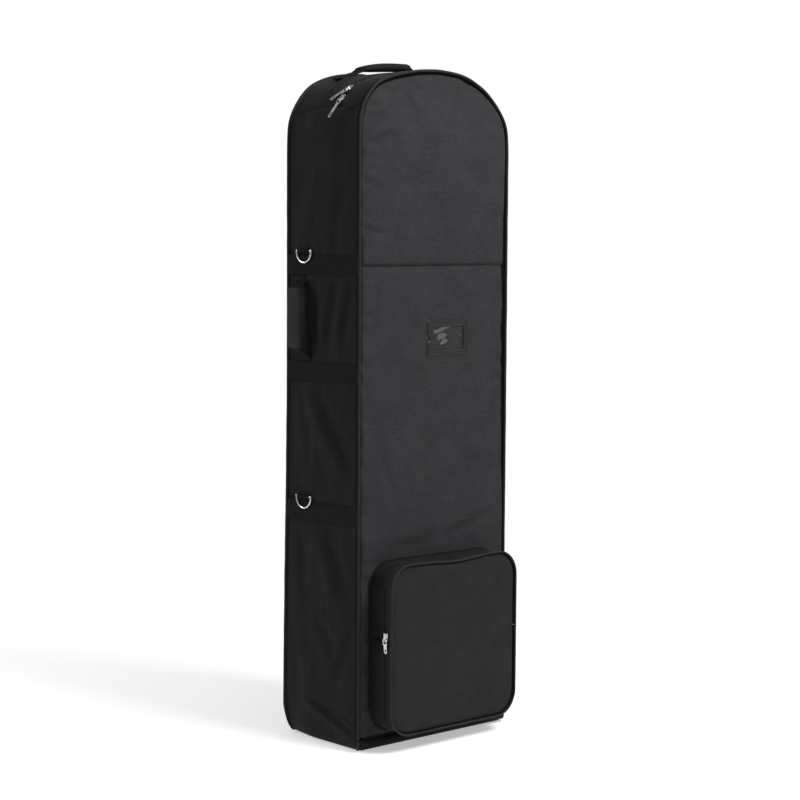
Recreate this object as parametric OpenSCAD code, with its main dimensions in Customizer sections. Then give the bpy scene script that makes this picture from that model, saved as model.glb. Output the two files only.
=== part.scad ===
// Soft golf travel case: an arched, padded box that stands on a boot with two wheels.
// Frame: +Z up, front towards -Y, origin at the middle of the resting face.

/* [Body] */
// Width between the outer faces of the two side gussets
body_w = 374; // [354:2:394]
// Depth between the outer faces of the front and back panels
body_d = 212; // [200:2:230]
// Height of the crown above the floor
body_h = 1268; // [1220:2:1300]
// Radius of the wide arc over the crown
crown_r = 376; // [360:2:390]
// Radius of the two shoulder arcs
shoulder_r = 95; // [90:1:100]
// Thickness of a padded panel
panel_t = 7; // [5:0.5:8]
// Height of the boot that closes the bottom
boot_h = 22; // [20:1:36]
// Radius along the bottom edges of the boot
boot_edge_r = 13; // [8:1:16]
// Height of the seam across the front panel
seam_z = 903; // [880:1:920]

/* [Main zip] */
// Distance of the main zip from the front face
zip_from_front = 68; // [60:1:76]
// Width of the gap that the zip fills
zip_gap = 10; // [9:0.5:12]
// Angle on the left shoulder where the zip ends
zip_end_angle = 156; // [155:0.5:160]
// Angle of the upper slider, seen from the centre of the shoulder arc
slider_a_angle = 132.5; // [132:0.1:133]
// Angle of the lower slider, seen from the centre of the shoulder arc
slider_b_angle = 148; // [147.8:0.1:148.4]

/* [Pocket] */
// Width of the front pocket
pocket_w = 320; // [300:2:330]
// Height of the lower edge of the pocket
pocket_z0 = 37; // [36:1:42]
// Height of the upper edge of the pocket
pocket_z1 = 352; // [340:1:360]
// Depth of the pocket in front of the panel
pocket_d = 62; // [56:1:70]
// Radius of the pocket's corners
pocket_r = 45; // [40:1:50]
// Thickness of the pocket's fabric
pocket_t = 4; // [3:0.5:4]
// Height where the pocket zip ends and its cover folds
pocket_fold_z = 207; // [205:1:225]

/* [Straps and rings] */
// Width of the webbing
web_w = 38; // [36:1:40]
// Thickness of the webbing
web_t = 1.6; // [1.2:0.1:1.6]
// Middle height of each strap across the left gusset
strap_z = [905, 705, 440];
// Line along the depth that the side handle and the rings are centred on
gear_y = 49; // [45:1:52]
// Radius of the ring wire
ring_wire_r = 2; // [1.8:0.1:2]

/* [Handles] */
// Line along the depth that the top handle is centred on
top_gear_y = 40; // [34:0.5:40]
// Length of the padded grip
grip_l = 116; // [104:1:116]
// Width of the padded grip
grip_w = 40; // [39:0.5:42]
// Thickness of the padded grip
grip_t = 13; // [12:0.5:14]

/* [Card holder] */
// Width of the card holder
card_w = 106; // [104:1:108]
// Height of the card holder
card_h = 68; // [66:1:70]
// Middle of the card holder across the front
card_x = 32; // [28:1:36]
// Middle height of the card holder
card_z = 767; // [760:1:775]

/* [Wheels] */
// Radius of a wheel
wheel_r = 30; // [28:1:30]
// Width of a tyre
wheel_w = 24; // [20:1:24]
// Distance of each wheel from the middle plane
wheel_x = 140; // [136:1:142]
// Height of the wheel axles
wheel_z = 33; // [33:0.5:34]

/* [Hidden] */
$fn = 64;
gap = 0.2;
half_w = body_w / 2;
half_d = body_d / 2;

// Arch outline: two shoulder arcs tangent to one crown arc
crown_z = body_h - crown_r;
shoulder_x = half_w - shoulder_r;
shoulder_z = crown_z + sqrt(pow(crown_r - shoulder_r, 2) - pow(shoulder_x, 2));
join_angle = atan2(shoulder_z - crown_z, shoulder_x);

zip_y = -half_d + zip_from_front;
zip_y0 = zip_y - zip_gap / 2;
zip_y1 = zip_y + zip_gap / 2;
front_in = -half_d + panel_t;
back_in = half_d - panel_t;
side_in = half_w - panel_t;
flap_z0 = boot_h + 3;

// Zip parts
tape_t = 1.4;
tape_inset = 1;
tooth_w = 2.4;
tooth_h = 2.2;
slider_l = 17;
slider_w = 11;
slider_t = 2.2;
slider_back = 5;
pivot_h = 4;
slider_clear = 0.6;
upper_pull_turn = 50;
lower_pull_turn = 25;
upper_pull_droop = 6;
lower_pull_droop = 8;
pull_l = 40;
pocket_pull_l = 26;

// Piping
pipe_r = 3;
pipe_out = (pipe_r + 0.1) / sqrt(2);
pocket_pipe_r = 2.4;
pocket_pipe_out = (pocket_pipe_r + 0.1) / sqrt(2);
cord_short = 0.3;

// Rings
ring_w = 46;
ring_leg = 1.5;
ring_half = ring_w / 2 - ring_wire_r;
ring_bar_out = 4.4;
ring_bar_up = 7.5;
ring_tab_r = 4.2;

// Handles
handle_half = 72;
handle_rise_l = 5.5;
handle_foot_l = 8.5;
handle_root_h = 16;
handle_web_t = 2.4;
side_bow = 27;
top_root_h = 12;
top_low = 17.2;
top_high = 26.7;
top_peak_x = 50;

// Pocket
pocket_y0 = -half_d - gap;
pocket_y1 = -half_d - pocket_d;
pocket_wall_y = pocket_y1 + 18;
pocket_rim_y = pocket_y1 + 9.6;
pocket_zip_y = (pocket_wall_y + pocket_rim_y) / 2;
pocket_slider_z = pocket_fold_z + 10;
pocket_cord_y = pocket_y1 - pocket_pipe_out;
pocket_cord_x = pocket_w / 2 - pocket_r;
pocket_cord_over = pocket_r + pocket_pipe_out;

// Wheels
wheel_y = half_d - 14;
housing_x = 46;
housing_y0 = half_d - 46;
housing_z = 68;
axle_r = 4;
hub_r = 20;

// Inside
inner_strap_z = [450, 850];
inner_web_w = 25;
liner_t = 2;
liner_y0 = back_in - 0.3 - liner_t;
buckle_l = 34;
buckle_t = 9;

// ---------- helpers ----------

// Extrudes an outline drawn in X and Z from y0 to y1
module slab(y0, y1) {
    translate([0, y1, 0]) rotate([90, 0, 0]) linear_extrude(y1 - y0) children();
}

// Front view of the case from z0 upwards, drawn in by inset
module arch(inset = 0, z0 = 0) {
    w = half_w - inset;
    translate([-w, z0]) square([2 * w, shoulder_z - z0]);
    for (s = [-1, 1]) translate([s * shoulder_x, shoulder_z]) circle(shoulder_r - inset);
    intersection() {
        translate([0, crown_z]) circle(crown_r - inset);
        sector(join_angle, 180 - join_angle, [0, crown_z], 2 * crown_r);
    }
}

// Triangle between two directions, which cuts a sector of less than 180 degrees
module sector(a0, a1, centre, reach) {
    polygon([
        centre,
        centre + reach * [cos(a0), sin(a0)],
        centre + reach * [cos(a1), sin(a1)]
    ]);
}

// Band that follows the arch between two insets
module arch_band(i0, i1, z0 = 0) {
    difference() {
        arch(i0, z0);
        arch(i1, z0 - 1);
    }
}

// Everything on the left below the line where the main zip ends
module left_of_zip_end() {
    c = [-shoulder_x, shoulder_z];
    polygon([
        c,
        c + 300 * [cos(zip_end_angle), sin(zip_end_angle)],
        [-half_w - 60, 0],
        [-shoulder_x, 0]
    ]);
}

// Arch above the shoulders, without the part left of the zip's end
module crown_band(i0, i1, trim = 0) {
    difference() {
        intersection() {
            arch_band(i0, i1);
            translate([-half_w - 10, shoulder_z + 0.1]) square([body_w + 20, 400]);
        }
        rotate_about([-shoulder_x, shoulder_z], -trim) left_of_zip_end();
    }
}

module rotate_about(c, a) {
    translate(c) rotate(a) translate(-c) children();
}

module stadium(w, t) {
    square([w - t, t], center = true);
    for (s = [-1, 1]) translate([s * (w - t) / 2, 0]) circle(t / 2);
}

module rounded_box_outline(x0, x1, z0, z1, r) {
    translate([x0 + r, z0]) square([x1 - x0 - 2 * r, z1 - z0]);
    translate([x0, z0 + r]) square([x1 - x0, z1 - z0 - 2 * r]);
    for (x = [x0 + r, x1 - r], z = [z0 + r, z1 - r]) translate([x, z]) circle(r);
}

// Places something on an arc around a centre in X and Z. Its own Z points outwards and its own X
// points back down the angle
module on_arc(centre, angle, radius, y) {
    translate([centre[0], y, centre[1]])
        rotate([0, 90 - angle, 0]) translate([0, 0, radius]) children();
}

// Round cord along an arc in the X-Z plane, a little short at both ends
module cord_arc(centre, radius, a0, a1, y, r) {
    short = cord_short / radius * 180 / PI;
    translate([centre[0], y, centre[1]]) rotate([90, 0, 0]) rotate([0, 0, a0 + short])
        rotate_extrude(angle = a1 - a0 - 2 * short) translate([radius, 0]) circle(r);
}

// Short sleeve that joins two runs of cord where one arc ends
module cord_sleeve(centre, radius, angle, y, r) {
    translate([centre[0], y, centre[1]]) rotate([0, -angle, 0]) translate([radius, 0, -1])
        cylinder(r = r + 0.06, h = 2);
}

module upright_cord(x, y, z0, z1, r) {
    translate([x, y, z0]) cylinder(r = r, h = z1 - z0);
}

module level_cord(x0, x1, y, z, r) {
    translate([x0, y, z]) rotate([0, 90, 0]) cylinder(r = r, h = x1 - x0);
}

// ---------- front flap ----------

module front_panel_upper() {
    color("#2b2b2e") slab(-half_d, front_in) intersection() {
        arch();
        translate([-half_w, seam_z + gap / 2]) square([body_w, body_h]);
    }
}

module front_panel_lower() {
    color("#2b2b2e") slab(-half_d, front_in)
        translate([-half_w, flap_z0]) square([body_w, seam_z - gap / 2 - flap_z0]);
}

module crown_gusset_front() {
    color("#202023") slab(front_in + gap, zip_y0) crown_band(0, panel_t, 0.3);
}

module right_gusset_front() {
    color("#202023") translate([side_in, front_in + gap, flap_z0])
        cube([panel_t, zip_y0 - front_in - gap, shoulder_z - flap_z0]);
}

// Arch band from the zip's end on the left shoulder, over the crown and down the right side to z0
module zip_band(i0, i1, z0) {
    difference() {
        intersection() {
            arch_band(i0, i1, z0);
            union() {
                translate([0, z0]) square([body_w, body_h]);
                translate([-body_w, shoulder_z + 0.1]) square([body_w + 1, 400]);
            }
        }
        rotate_about([-shoulder_x, shoulder_z], -1) left_of_zip_end();
    }
}

// One half of the main zip: flat tape with a raised row of teeth at one edge
module zip_half(y_edge, y_mid, z0) {
    tooth_lo = y_mid > y_edge ? y_mid - tooth_w : y_mid;
    slab(min(y_edge, y_mid), max(y_edge, y_mid)) zip_band(tape_inset, tape_inset + tape_t, z0);
    slab(tooth_lo, tooth_lo + tooth_w) zip_band(tape_inset - tooth_h + 1, tape_inset + 0.4, z0);
}

// Zip half along the bottom of the opening, round the right front corner
module zip_foot(z0, z1, teeth_z) {
    y_out = -half_d + tape_inset;
    x_out = half_w - tape_inset;
    difference() {
        union() {
            translate([-side_in, y_out, z0]) cube([side_in + x_out, tape_t, z1 - z0]);
            translate([x_out - tape_t, y_out, z0]) cube([tape_t, zip_y - gap / 2 - y_out, z1 - z0]);
            translate([-side_in, y_out - tooth_h + 1, teeth_z])
                cube([side_in + x_out, tooth_h - 1, 0.8]);
        }
        translate([-side_in - 1, y_out - 5, z0 - 1]) cube([1, 20, 10]);
    }
}

module flap_zip_tape() {
    color("#111113") {
        zip_half(zip_y0 + gap, zip_y - gap / 2, boot_h + 1.6);
        zip_foot(boot_h + 1.6, flap_z0 - 0.1, boot_h + 1.6);
    }
}

module shell_zip_tape() {
    color("#111113") {
        zip_half(zip_y1 - gap, zip_y + gap / 2, boot_h + 0.1);
        zip_foot(boot_h + 0.1, boot_h + 1.4, boot_h + 0.6);
    }
}

// Cord along the edge of the front or back panel
module edge_cord(y, z0) {
    x = half_w + pipe_out;
    over = shoulder_r + pipe_out;
    for (s = [-1, 1]) upright_cord(s * x, y, z0, shoulder_z - cord_short, pipe_r);
    cord_arc([shoulder_x, shoulder_z], over, 0, join_angle, y, pipe_r);
    cord_arc([-shoulder_x, shoulder_z], over, 180 - join_angle, 180, y, pipe_r);
    cord_arc([0, crown_z], crown_r + pipe_out, join_angle, 180 - join_angle, y, pipe_r);
    for (a = [0, join_angle]) cord_sleeve([shoulder_x, shoulder_z], over, a, y, pipe_r);
    for (a = [180 - join_angle, 180]) cord_sleeve([-shoulder_x, shoulder_z], over, a, y, pipe_r);
}

module front_piping() {
    color("#0e0e10") edge_cord(-half_d - pipe_out, flap_z0);
}

module rear_piping() {
    color("#0e0e10") edge_cord(half_d + pipe_out, boot_h + 0.2);
}

// Ends of the front and rear cords, sewn down the corners of the boot
module boot_piping() {
    color("#0e0e10") for (sx = [-1, 1], sy = [-1, 1])
        upright_cord(sx * (half_w + pipe_out), sy * (half_d + pipe_out), boot_edge_r, boot_h, pipe_r);
}

// ---------- card holder ----------

module card_plate(inset, y0, y1) {
    translate([card_x - card_w / 2 + inset, y0, card_z - card_h / 2 + inset])
        cube([card_w - 2 * inset, y1 - y0, card_h - 2 * inset]);
}

module card_backing() {
    color("#1a1a1c") card_plate(0, -half_d - 1.1, -half_d - 0.1);
}

module card_window() {
    color([0.6, 0.6, 0.62, 0.35]) card_plate(5, -half_d - 2.6, -half_d - 2.1);
}

module card_frame() {
    notch_r = 5;
    color("#2a2a2c") difference() {
        card_plate(0, -half_d - 4.4, -half_d - 2.7);
        card_plate(12, -half_d - 6, -half_d - 1);
        translate([card_x - card_w / 2, -half_d, card_z]) rotate([90, 0, 0])
            cylinder(r = notch_r, h = 8);
    }
}

// ---------- front pocket ----------

module pocket_outline(inset) {
    rounded_box_outline(-pocket_w / 2 + inset, pocket_w / 2 - inset,
        pocket_z0 + inset, pocket_z1 - inset, pocket_r - inset);
}

module pocket_ring(i0, i1) {
    difference() {
        pocket_outline(i0);
        pocket_outline(i1);
    }
}

module above_fold() {
    translate([-pocket_w, pocket_fold_z + 0.4]) square([2 * pocket_w, 400]);
}

module below_fold() {
    translate([-pocket_w, 0]) square([2 * pocket_w, pocket_fold_z]);
}

module pocket_gusset() {
    color("#202023") slab(pocket_wall_y, pocket_y0) pocket_ring(0, pocket_t);
}

module pocket_front_lower() {
    color("#29292b") {
        slab(pocket_y1, pocket_y1 + pocket_t) intersection() {
            pocket_outline(0);
            below_fold();
        }
        slab(pocket_y1 + pocket_t, pocket_wall_y - gap) intersection() {
            pocket_ring(0, pocket_t);
            below_fold();
        }
    }
}

module pocket_cover() {
    color("#29292b") {
        slab(pocket_y1, pocket_y1 + pocket_t) intersection() {
            pocket_outline(0);
            above_fold();
        }
        slab(pocket_y1 + pocket_t, pocket_rim_y) intersection() {
            pocket_ring(0, pocket_t);
            above_fold();
        }
    }
}

module pocket_zip_half(y0, y1, tooth_y) {
    slab(y0, y1) intersection() {
        pocket_ring(tape_inset, tape_inset + 1.2);
        above_fold();
    }
    slab(tooth_y, tooth_y + 1.8) intersection() {
        pocket_ring(0, tape_inset);
        above_fold();
    }
}

module pocket_zip_tape_wall() {
    color("#111113") pocket_zip_half(pocket_zip_y + 0.1, pocket_wall_y - gap, pocket_zip_y + 0.1);
}

module pocket_zip_tape_cover() {
    color("#111113") pocket_zip_half(pocket_rim_y + gap, pocket_zip_y - 0.1, pocket_zip_y - 1.9);
}

// Cord around half of the pocket's front edge, with the corner centres at height zc
module pocket_cord(zc, level_z, angles, fold_z) {
    y = pocket_cord_y;
    r = pocket_pipe_r;
    lo = min(zc, fold_z);
    hi = max(zc, fold_z);
    for (s = [-1, 1]) upright_cord(s * (pocket_w / 2 + pocket_pipe_out), y,
        lo + (lo == zc ? cord_short : 0), hi - (hi == zc ? cord_short : 0), r);
    level_cord(-pocket_cord_x + cord_short, pocket_cord_x - cord_short, y, level_z, r);
    for (k = [0, 1]) {
        centre = [k == 0 ? pocket_cord_x : -pocket_cord_x, zc];
        cord_arc(centre, pocket_cord_over, angles[k], angles[k] + 90, y, r);
        for (a = [0, 90]) cord_sleeve(centre, pocket_cord_over, angles[k] + a, y, r);
    }
}

module pocket_piping_lower() {
    color("#0e0e10") pocket_cord(pocket_z0 + pocket_r, pocket_z0 - pocket_pipe_out,
        [270, 180], pocket_fold_z);
}

module pocket_piping_cover() {
    color("#0e0e10") pocket_cord(pocket_z1 - pocket_r, pocket_z1 + pocket_pipe_out,
        [0, 90], pocket_fold_z + 0.4);
}

// Webbing tabs that cover the two ends of the pocket zip
module pocket_zip_tabs() {
    tab_l = 24;
    x = pocket_w / 2 + 0.1;
    color("#131315") for (s = [-1, 1])
        translate([s > 0 ? x : -x - 1, pocket_zip_y + 9, pocket_fold_z - 12]) cube([1, tab_l, 20]);
}

// ---------- zip sliders ----------

// Slider with a bridge on top; its own X is the way it travels and its own Z points off the fabric
module slider() {
    nose = slider_w / 2;
    tail = slider_l - slider_back;
    post_t = 1.2;
    post_x = 2.9;
    roof_z = pivot_h + 1.2;
    difference() {
        union() {
            translate([nose - slider_back, 0, 0]) cylinder(r = nose, h = slider_t);
            translate([nose - slider_back, -nose, 0]) cube([slider_l - nose, slider_w, slider_t]);
        }
        translate([tail - 2, -1.2, -1]) cube([4, 2.4, 5]);
    }
    for (x = [-post_x - post_t, post_x]) translate([x, -0.8, slider_t - 0.2])
        cube([post_t, 1.6, roof_z - slider_t + 0.4]);
    translate([-post_x - post_t, -0.8, roof_z]) cube([2 * (post_x + post_t), 1.6, 1.2]);
}

// Pull tab, which hangs from the slider's bridge on its own cross bar and lies along its own -X
module pull(length, droop) {
    t = 1.6;
    eye_w = 11.4;
    eye_in = 8.6;
    eye_l = 9.4;
    blade_w = 8;
    tip = blade_w / 2 - length;
    rotate([0, -droop, 0]) translate([0, 0, -t / 2]) difference() {
        union() {
            translate([-eye_l, -eye_w / 2, 0]) cube([eye_l + 0.5, eye_w, t]);
            translate([tip, -blade_w / 2, 0]) cube([-tip - eye_l + 1, blade_w, t]);
            translate([tip, 0, 0]) cylinder(r = blade_w / 2, h = t);
        }
        translate([2 - eye_l, -eye_in / 2, -1]) cube([eye_l + 2, eye_in, 4]);
        translate([tip - 1.2, -1.7, -1]) cube([length * 0.22, 3.4, 4]);
    }
    translate([0, -eye_w / 2 + 0.3, 0]) rotate([-90, 0, 0]) cylinder(r = 0.9, h = eye_w - 0.6);
}

module on_slider_a() {
    on_arc([-shoulder_x, shoulder_z], slider_a_angle, shoulder_r + slider_clear, zip_y) children();
}

module on_slider_b() {
    on_arc([-shoulder_x, shoulder_z], slider_b_angle, shoulder_r + slider_clear, zip_y) children();
}

module on_pocket_slider() {
    translate([-pocket_w / 2 - 0.3, pocket_zip_y, pocket_slider_z]) rotate([0, -90, 0]) children();
}

module zip_slider_upper() {
    color("#b9bcc0") on_slider_a() slider();
}

module zip_pull_upper() {
    color("#c9ccd0") on_slider_a() translate([0, 0, pivot_h]) rotate([0, 0, -upper_pull_turn])
        pull(pull_l, upper_pull_droop);
}

module zip_slider_lower() {
    color("#b9bcc0") on_slider_b() slider();
}

module zip_pull_lower() {
    color("#c9ccd0") on_slider_b() translate([0, 0, pivot_h])
        rotate([0, 0, -lower_pull_turn]) pull(pull_l, lower_pull_droop);
}

module pocket_slider() {
    color("#b9bcc0") on_pocket_slider() slider();
}

module pocket_pull() {
    color("#c9ccd0") on_pocket_slider() translate([0, 0, pivot_h])
        pull(pocket_pull_l, upper_pull_droop);
}

// ---------- shell ----------

module housing_cut() {
    for (s = [-1, 1]) translate([s * wheel_x - housing_x / 2 - gap, housing_y0 - gap, -1])
        cube([housing_x + 2 * gap, 80, housing_z + 1 + gap]);
}

module back_panel() {
    color("#1f1f22") difference() {
        slab(back_in, half_d) arch(0, boot_h + 0.2);
        housing_cut();
    }
}

module left_gusset() {
    color("#202023") slab(front_in + 0.4, back_in - gap) intersection() {
        arch_band(0, panel_t, boot_edge_r + 0.2);
        left_of_zip_end();
    }
}

module crown_gusset_rear() {
    color("#202023") slab(zip_y1, back_in - gap) crown_band(0, panel_t, 0.3);
}

module right_gusset_rear() {
    color("#202023") translate([side_in, zip_y1, boot_h + 0.2])
        cube([panel_t, back_in - gap - zip_y1, shoulder_z - boot_h - 0.2]);
}

// Box with rounded bottom edges and nearly square upright corners, drawn in by inset
module boot_block(inset, h) {
    w = half_w - inset;
    d = half_d - inset;
    r = boot_edge_r - inset;
    corner_r = max(4 - inset, 1);
    intersection() {
        slab(-d, d) rounded_box_outline(-w, w, inset, 4 * h, r);
        translate([-w, 0, 0]) rotate([90, 0, 90]) linear_extrude(2 * w)
            rounded_box_outline(-d, d, inset, 4 * h, r);
        linear_extrude(h) rounded_box_outline(-w, w, -d, d, corner_r);
    }
}

module base_boot() {
    boot_t = 3.5;
    color("#1d1d20") difference() {
        boot_block(0, boot_h);
        boot_block(boot_t, boot_h + 1);
        housing_cut();
        translate([-half_w - 1, front_in + 0.2, boot_edge_r])
            cube([panel_t + 1, back_in - front_in - 0.2, boot_h]);
    }
}

module base_board() {
    edge = 16;
    color("#4a4a4c") difference() {
        translate([-half_w + edge, -half_d + edge, 3.7])
            cube([body_w - 2 * edge, body_d - 2 * edge, 5]);
        housing_cut();
    }
}

module back_stiffener() {
    margin = 12;
    color("#3a3a3d") difference() {
        translate([-side_in + margin, liner_y0, 74])
            cube([2 * (side_in - margin), liner_t, shoulder_z - 100]);
        housing_cut();
    }
}

// Curved foam pad under the crown, behind the zip
module crown_pad() {
    pad_t = 14;
    color("#55555a") slab(zip_y1 + 4, liner_y0 - 6) intersection() {
        arch_band(panel_t + 0.4, panel_t + 0.4 + pad_t);
        translate([-shoulder_x, shoulder_z]) square([2 * shoulder_x, 400]);
    }
}

// ---------- straps, rings and tabs ----------

module strap(z) {
    color("#17171a") translate([-half_w - 0.1 - web_t, front_in + 0.6, z - web_w / 2])
        cube([web_t, half_d - front_in - 2, web_w]);
}

// Folded webbing that holds the ring's bar just above a strap
module ring_tab(z) {
    x = -half_w - ring_bar_out;
    w = 35;
    foot_z = z + web_w / 2 + 0.2;
    bar_z = z + web_w / 2 + ring_bar_up;
    color("#131315") {
        difference() {
            translate([x, gear_y - w / 2, bar_z]) rotate([-90, 0, 0]) cylinder(r = ring_tab_r, h = w);
            translate([x, gear_y - w, bar_z]) rotate([-90, 0, 0])
                cylinder(r = ring_wire_r + 0.4, h = 2 * w);
        }
        translate([-half_w - 2.3, gear_y - w / 2, foot_z]) cube([2.1, w, bar_z - foot_z - 2.4]);
    }
}

// Ring that hangs from its straight bar
module d_ring(z) {
    x = -half_w - ring_bar_out;
    bar_z = z + web_w / 2 + ring_bar_up;
    r = ring_wire_r;
    bow_z = bar_z - ring_leg;
    color("#c4c7cb") {
        translate([x, gear_y - ring_half, bar_z]) rotate([-90, 0, 0]) cylinder(r = r, h = 2 * ring_half);
        for (s = [-1, 1]) translate([x, gear_y + s * ring_half, 0]) {
            translate([0, 0, bar_z]) sphere(r + 0.1);
            translate([0, 0, bow_z + cord_short]) cylinder(r = r, h = ring_leg - cord_short);
            translate([0, 0, bow_z - 1]) cylinder(r = r + 0.06, h = 2);
        }
        translate([x, gear_y, bow_z]) rotate([90, 0, 90]) rotate([0, 0, 180.8])
            rotate_extrude(angle = 178.4) translate([ring_half, 0]) circle(r);
    }
}

// ---------- handles ----------

// Side view of a bowed strap along X that rises from root_h at its ends to bow in the middle
module bow_outline(half, root_h, bow, rise_l, t) {
    flat = half - rise_l;
    polygon([
        [-half, root_h], [-flat, bow], [flat, bow], [half, root_h],
        [half, root_h + t], [flat, bow + t], [-flat, bow + t], [-half, root_h + t]
    ]);
}

// Handle webbing along its own X, bowed towards its own Z
module handle_webbing(half, bow) {
    translate([0, (web_w - 2) / 2, 0]) rotate([90, 0, 0]) linear_extrude(web_w - 2)
        bow_outline(half - 8, handle_root_h, bow, handle_rise_l, handle_web_t);
}

module handle_grip(bow, l) {
    translate([-l / 2, 0, bow + handle_web_t / 2]) rotate([90, 0, 90]) linear_extrude(l)
        difference() {
            stadium(grip_w, grip_t);
            square([web_w - 1.4, handle_web_t + 0.6], center = true);
        }
}

// Fixed ends of a handle, sewn flat and then turned up towards the moving webbing
module handle_ends(root_z) {
    w = web_w - 2;
    t = handle_web_t;
    h = handle_root_h;
    end = handle_half + handle_foot_l;
    for (s = [0, 1]) mirror([s, 0, 0]) translate([0, w / 2, 0]) rotate([90, 0, 0])
        linear_extrude(w) polygon([
            [handle_half - 7.6, h - 0.4], [handle_half - 7.6, h + t - 0.4],
            [handle_half + 2, root_z + t], [end, root_z + t], [end, root_z], [handle_half, root_z]
        ]);
}

side_handle_z = (strap_z[0] + strap_z[1]) / 2;

// Handle frame on the left gusset: its X runs up the case and its Z points off the gusset
module on_side() {
    translate([-half_w, gear_y, side_handle_z]) rotate([0, -90, 0]) children();
}

module side_handle_ends() {
    color("#17171a") on_side() handle_ends(0.3);
}

module side_handle_webbing() {
    color("#17171a") on_side() handle_webbing(handle_half, side_bow - handle_web_t);
}

module side_handle_grip() {
    color("#2b2b2e") on_side() handle_grip(side_bow - handle_web_t, grip_l);
}

top_foot_x = handle_half + 15;
top_foot_z = crown_z + sqrt(pow(crown_r, 2) - pow(top_foot_x, 2));
top_span = top_peak_x + grip_l / 2;
top_arc_r = (pow(top_span, 2) + pow(top_high - top_low, 2)) / (2 * (top_high - top_low));

// Top handle's frame, at the height of the crown where its sewn ends meet the crown
module on_top() {
    translate([0, top_gear_y, top_foot_z]) children();
}

// Fixed ends that follow the crown arc, then turn up towards the moving webbing
module top_handle_ends() {
    w = web_w - 2;
    t = handle_web_t;
    h = top_root_h;
    color("#17171a") for (s = [0, 1]) mirror([s, 0, 0]) {
        slab(top_gear_y - w / 2, top_gear_y + w / 2) intersection() {
            difference() {
                translate([0, crown_z]) circle(crown_r + gap + 1.8, $fn = 180);
                translate([0, crown_z]) circle(crown_r + gap, $fn = 180);
            }
            sector(join_angle + 0.5, 90 - asin((handle_half + 4) / crown_r),
                [0, crown_z], 2 * crown_r);
        }
        on_top() translate([0, w / 2, 0]) rotate([90, 0, 0]) linear_extrude(w) polygon([
            [handle_half - 7.6, h - 0.4], [handle_half - 7.6, h + t - 0.4],
            [top_foot_x + 1, 0.9], [handle_half + 8, 2.7]
        ]);
    }
}

// Something swept along the top handle's arc, which is low on the left and highest right of the middle
module along_top_arc() {
    past = asin((grip_l / 2 - top_peak_x) / top_arc_r);
    translate([top_peak_x, 0, top_high - top_arc_r]) rotate([90, 0, 0]) rotate([0, 0, 90 - past])
        rotate_extrude(angle = asin(top_span / top_arc_r) + past)
            translate([top_arc_r, 0]) rotate(90) children();
}

// Webbing along the arc, with a short slope down to its left root and a fold down to its right root
module top_handle_webbing() {
    t = handle_web_t;
    w = web_w - 2;
    end = grip_l / 2;
    root = handle_half - 8;
    h = top_root_h;
    low = top_low;
    high = top_high;
    color("#17171a") on_top() {
        along_top_arc() square([w, t], center = true);
        translate([0, w / 2, 0]) rotate([90, 0, 0]) linear_extrude(w) {
            polygon([
                [-root, h], [-root, h + t], [-end - 0.4, low + t / 2], [-end + 0.4, low + t / 2 + 0.1],
                [-end + 0.4, low - t / 2 + 0.1], [-end - 0.4, low - t / 2]
            ]);
            polygon([
                [end - 0.4, high - t / 2], [root - t, high - t / 2], [root - t, h], [root, h],
                [root, high - t / 2], [root - t / 2, high + t / 2 - 0.2], [end - 0.4, high + t / 2 - 0.2]
            ]);
        }
    }
}

module top_handle_grip() {
    color("#222225") on_top() along_top_arc() difference() {
        stadium(grip_w, grip_t);
        square([web_w - 1.4, handle_web_t + 0.6], center = true);
    }
}

// ---------- wheels ----------

module wheel_cylinder(x, r, w) {
    translate([x - w / 2, wheel_y, wheel_z]) rotate([0, 90, 0]) cylinder(r = r, h = w);
}

screw_x = 23;
screw_z = housing_z + 5;

// Moulded corner housing with a well for the wheel and a flange on the back panel
module wheel_housing(s) {
    flange_t = 2.5;
    wall = 4;
    x = s * wheel_x;
    well_w = housing_x - 2 * wall;
    color("#1b1b1d") difference() {
        union() {
            translate([x - housing_x / 2, housing_y0, 2])
                cube([housing_x, half_d + gap + flange_t - housing_y0, housing_z - 2]);
            translate([x - housing_x / 2 - 6, half_d + gap, boot_h + 2])
                cube([housing_x + 12, flange_t, housing_z + 12 - boot_h]);
        }
        translate([x - well_w / 2, wheel_y - wheel_r - 3, -1])
            cube([well_w, 100, wheel_z + wheel_r + 2]);
        wheel_cylinder(x, axle_r + 0.05, housing_x + 20);
    }
}

// Screws that hold the housing flanges to the back panel
module housing_screws() {
    color("#8d9094") for (s = [-1, 1], side = [-1, 1])
        translate([s * wheel_x + side * screw_x, half_d + gap + 2.6, screw_z]) rotate([-90, 0, 0])
            cylinder(r = 3.6, h = 1.6);
}

// Plain axle with a head at each end
module wheel_axles() {
    color("#9a9da1") for (s = [-1, 1]) wheel_cylinder(s * wheel_x, axle_r, housing_x - 0.4);
}

module wheel_tyre(s) {
    color("#0d0d0e") difference() {
        wheel_cylinder(s * wheel_x, wheel_r, wheel_w);
        wheel_cylinder(s * wheel_x, hub_r + 0.1, wheel_w + 2);
    }
}

module wheel_hub(s) {
    color("#3c3e42") difference() {
        wheel_cylinder(s * wheel_x, hub_r, wheel_w - 2);
        wheel_cylinder(s * wheel_x, axle_r + 0.08, wheel_w + 2);
        for (side = [-1, 1]) difference() {
            wheel_cylinder(s * wheel_x + side * (wheel_w / 2 - 1), hub_r - 4, 8);
            wheel_cylinder(s * wheel_x + side * (wheel_w / 2 - 1), axle_r + 5, 8);
        }
    }
}

// ---------- inside straps ----------

inner_web_y = liner_y0 - 0.2 - 1.5;
socket_x = 2;

module inner_strap(z) {
    color("#1b1b1e") for (span = [[-150, -socket_x - buckle_l - 16], [socket_x + buckle_l + 1, 150]])
        translate([span[0], inner_web_y, z - inner_web_w / 2])
            cube([span[1] - span[0], 1.5, inner_web_w]);
}

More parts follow.
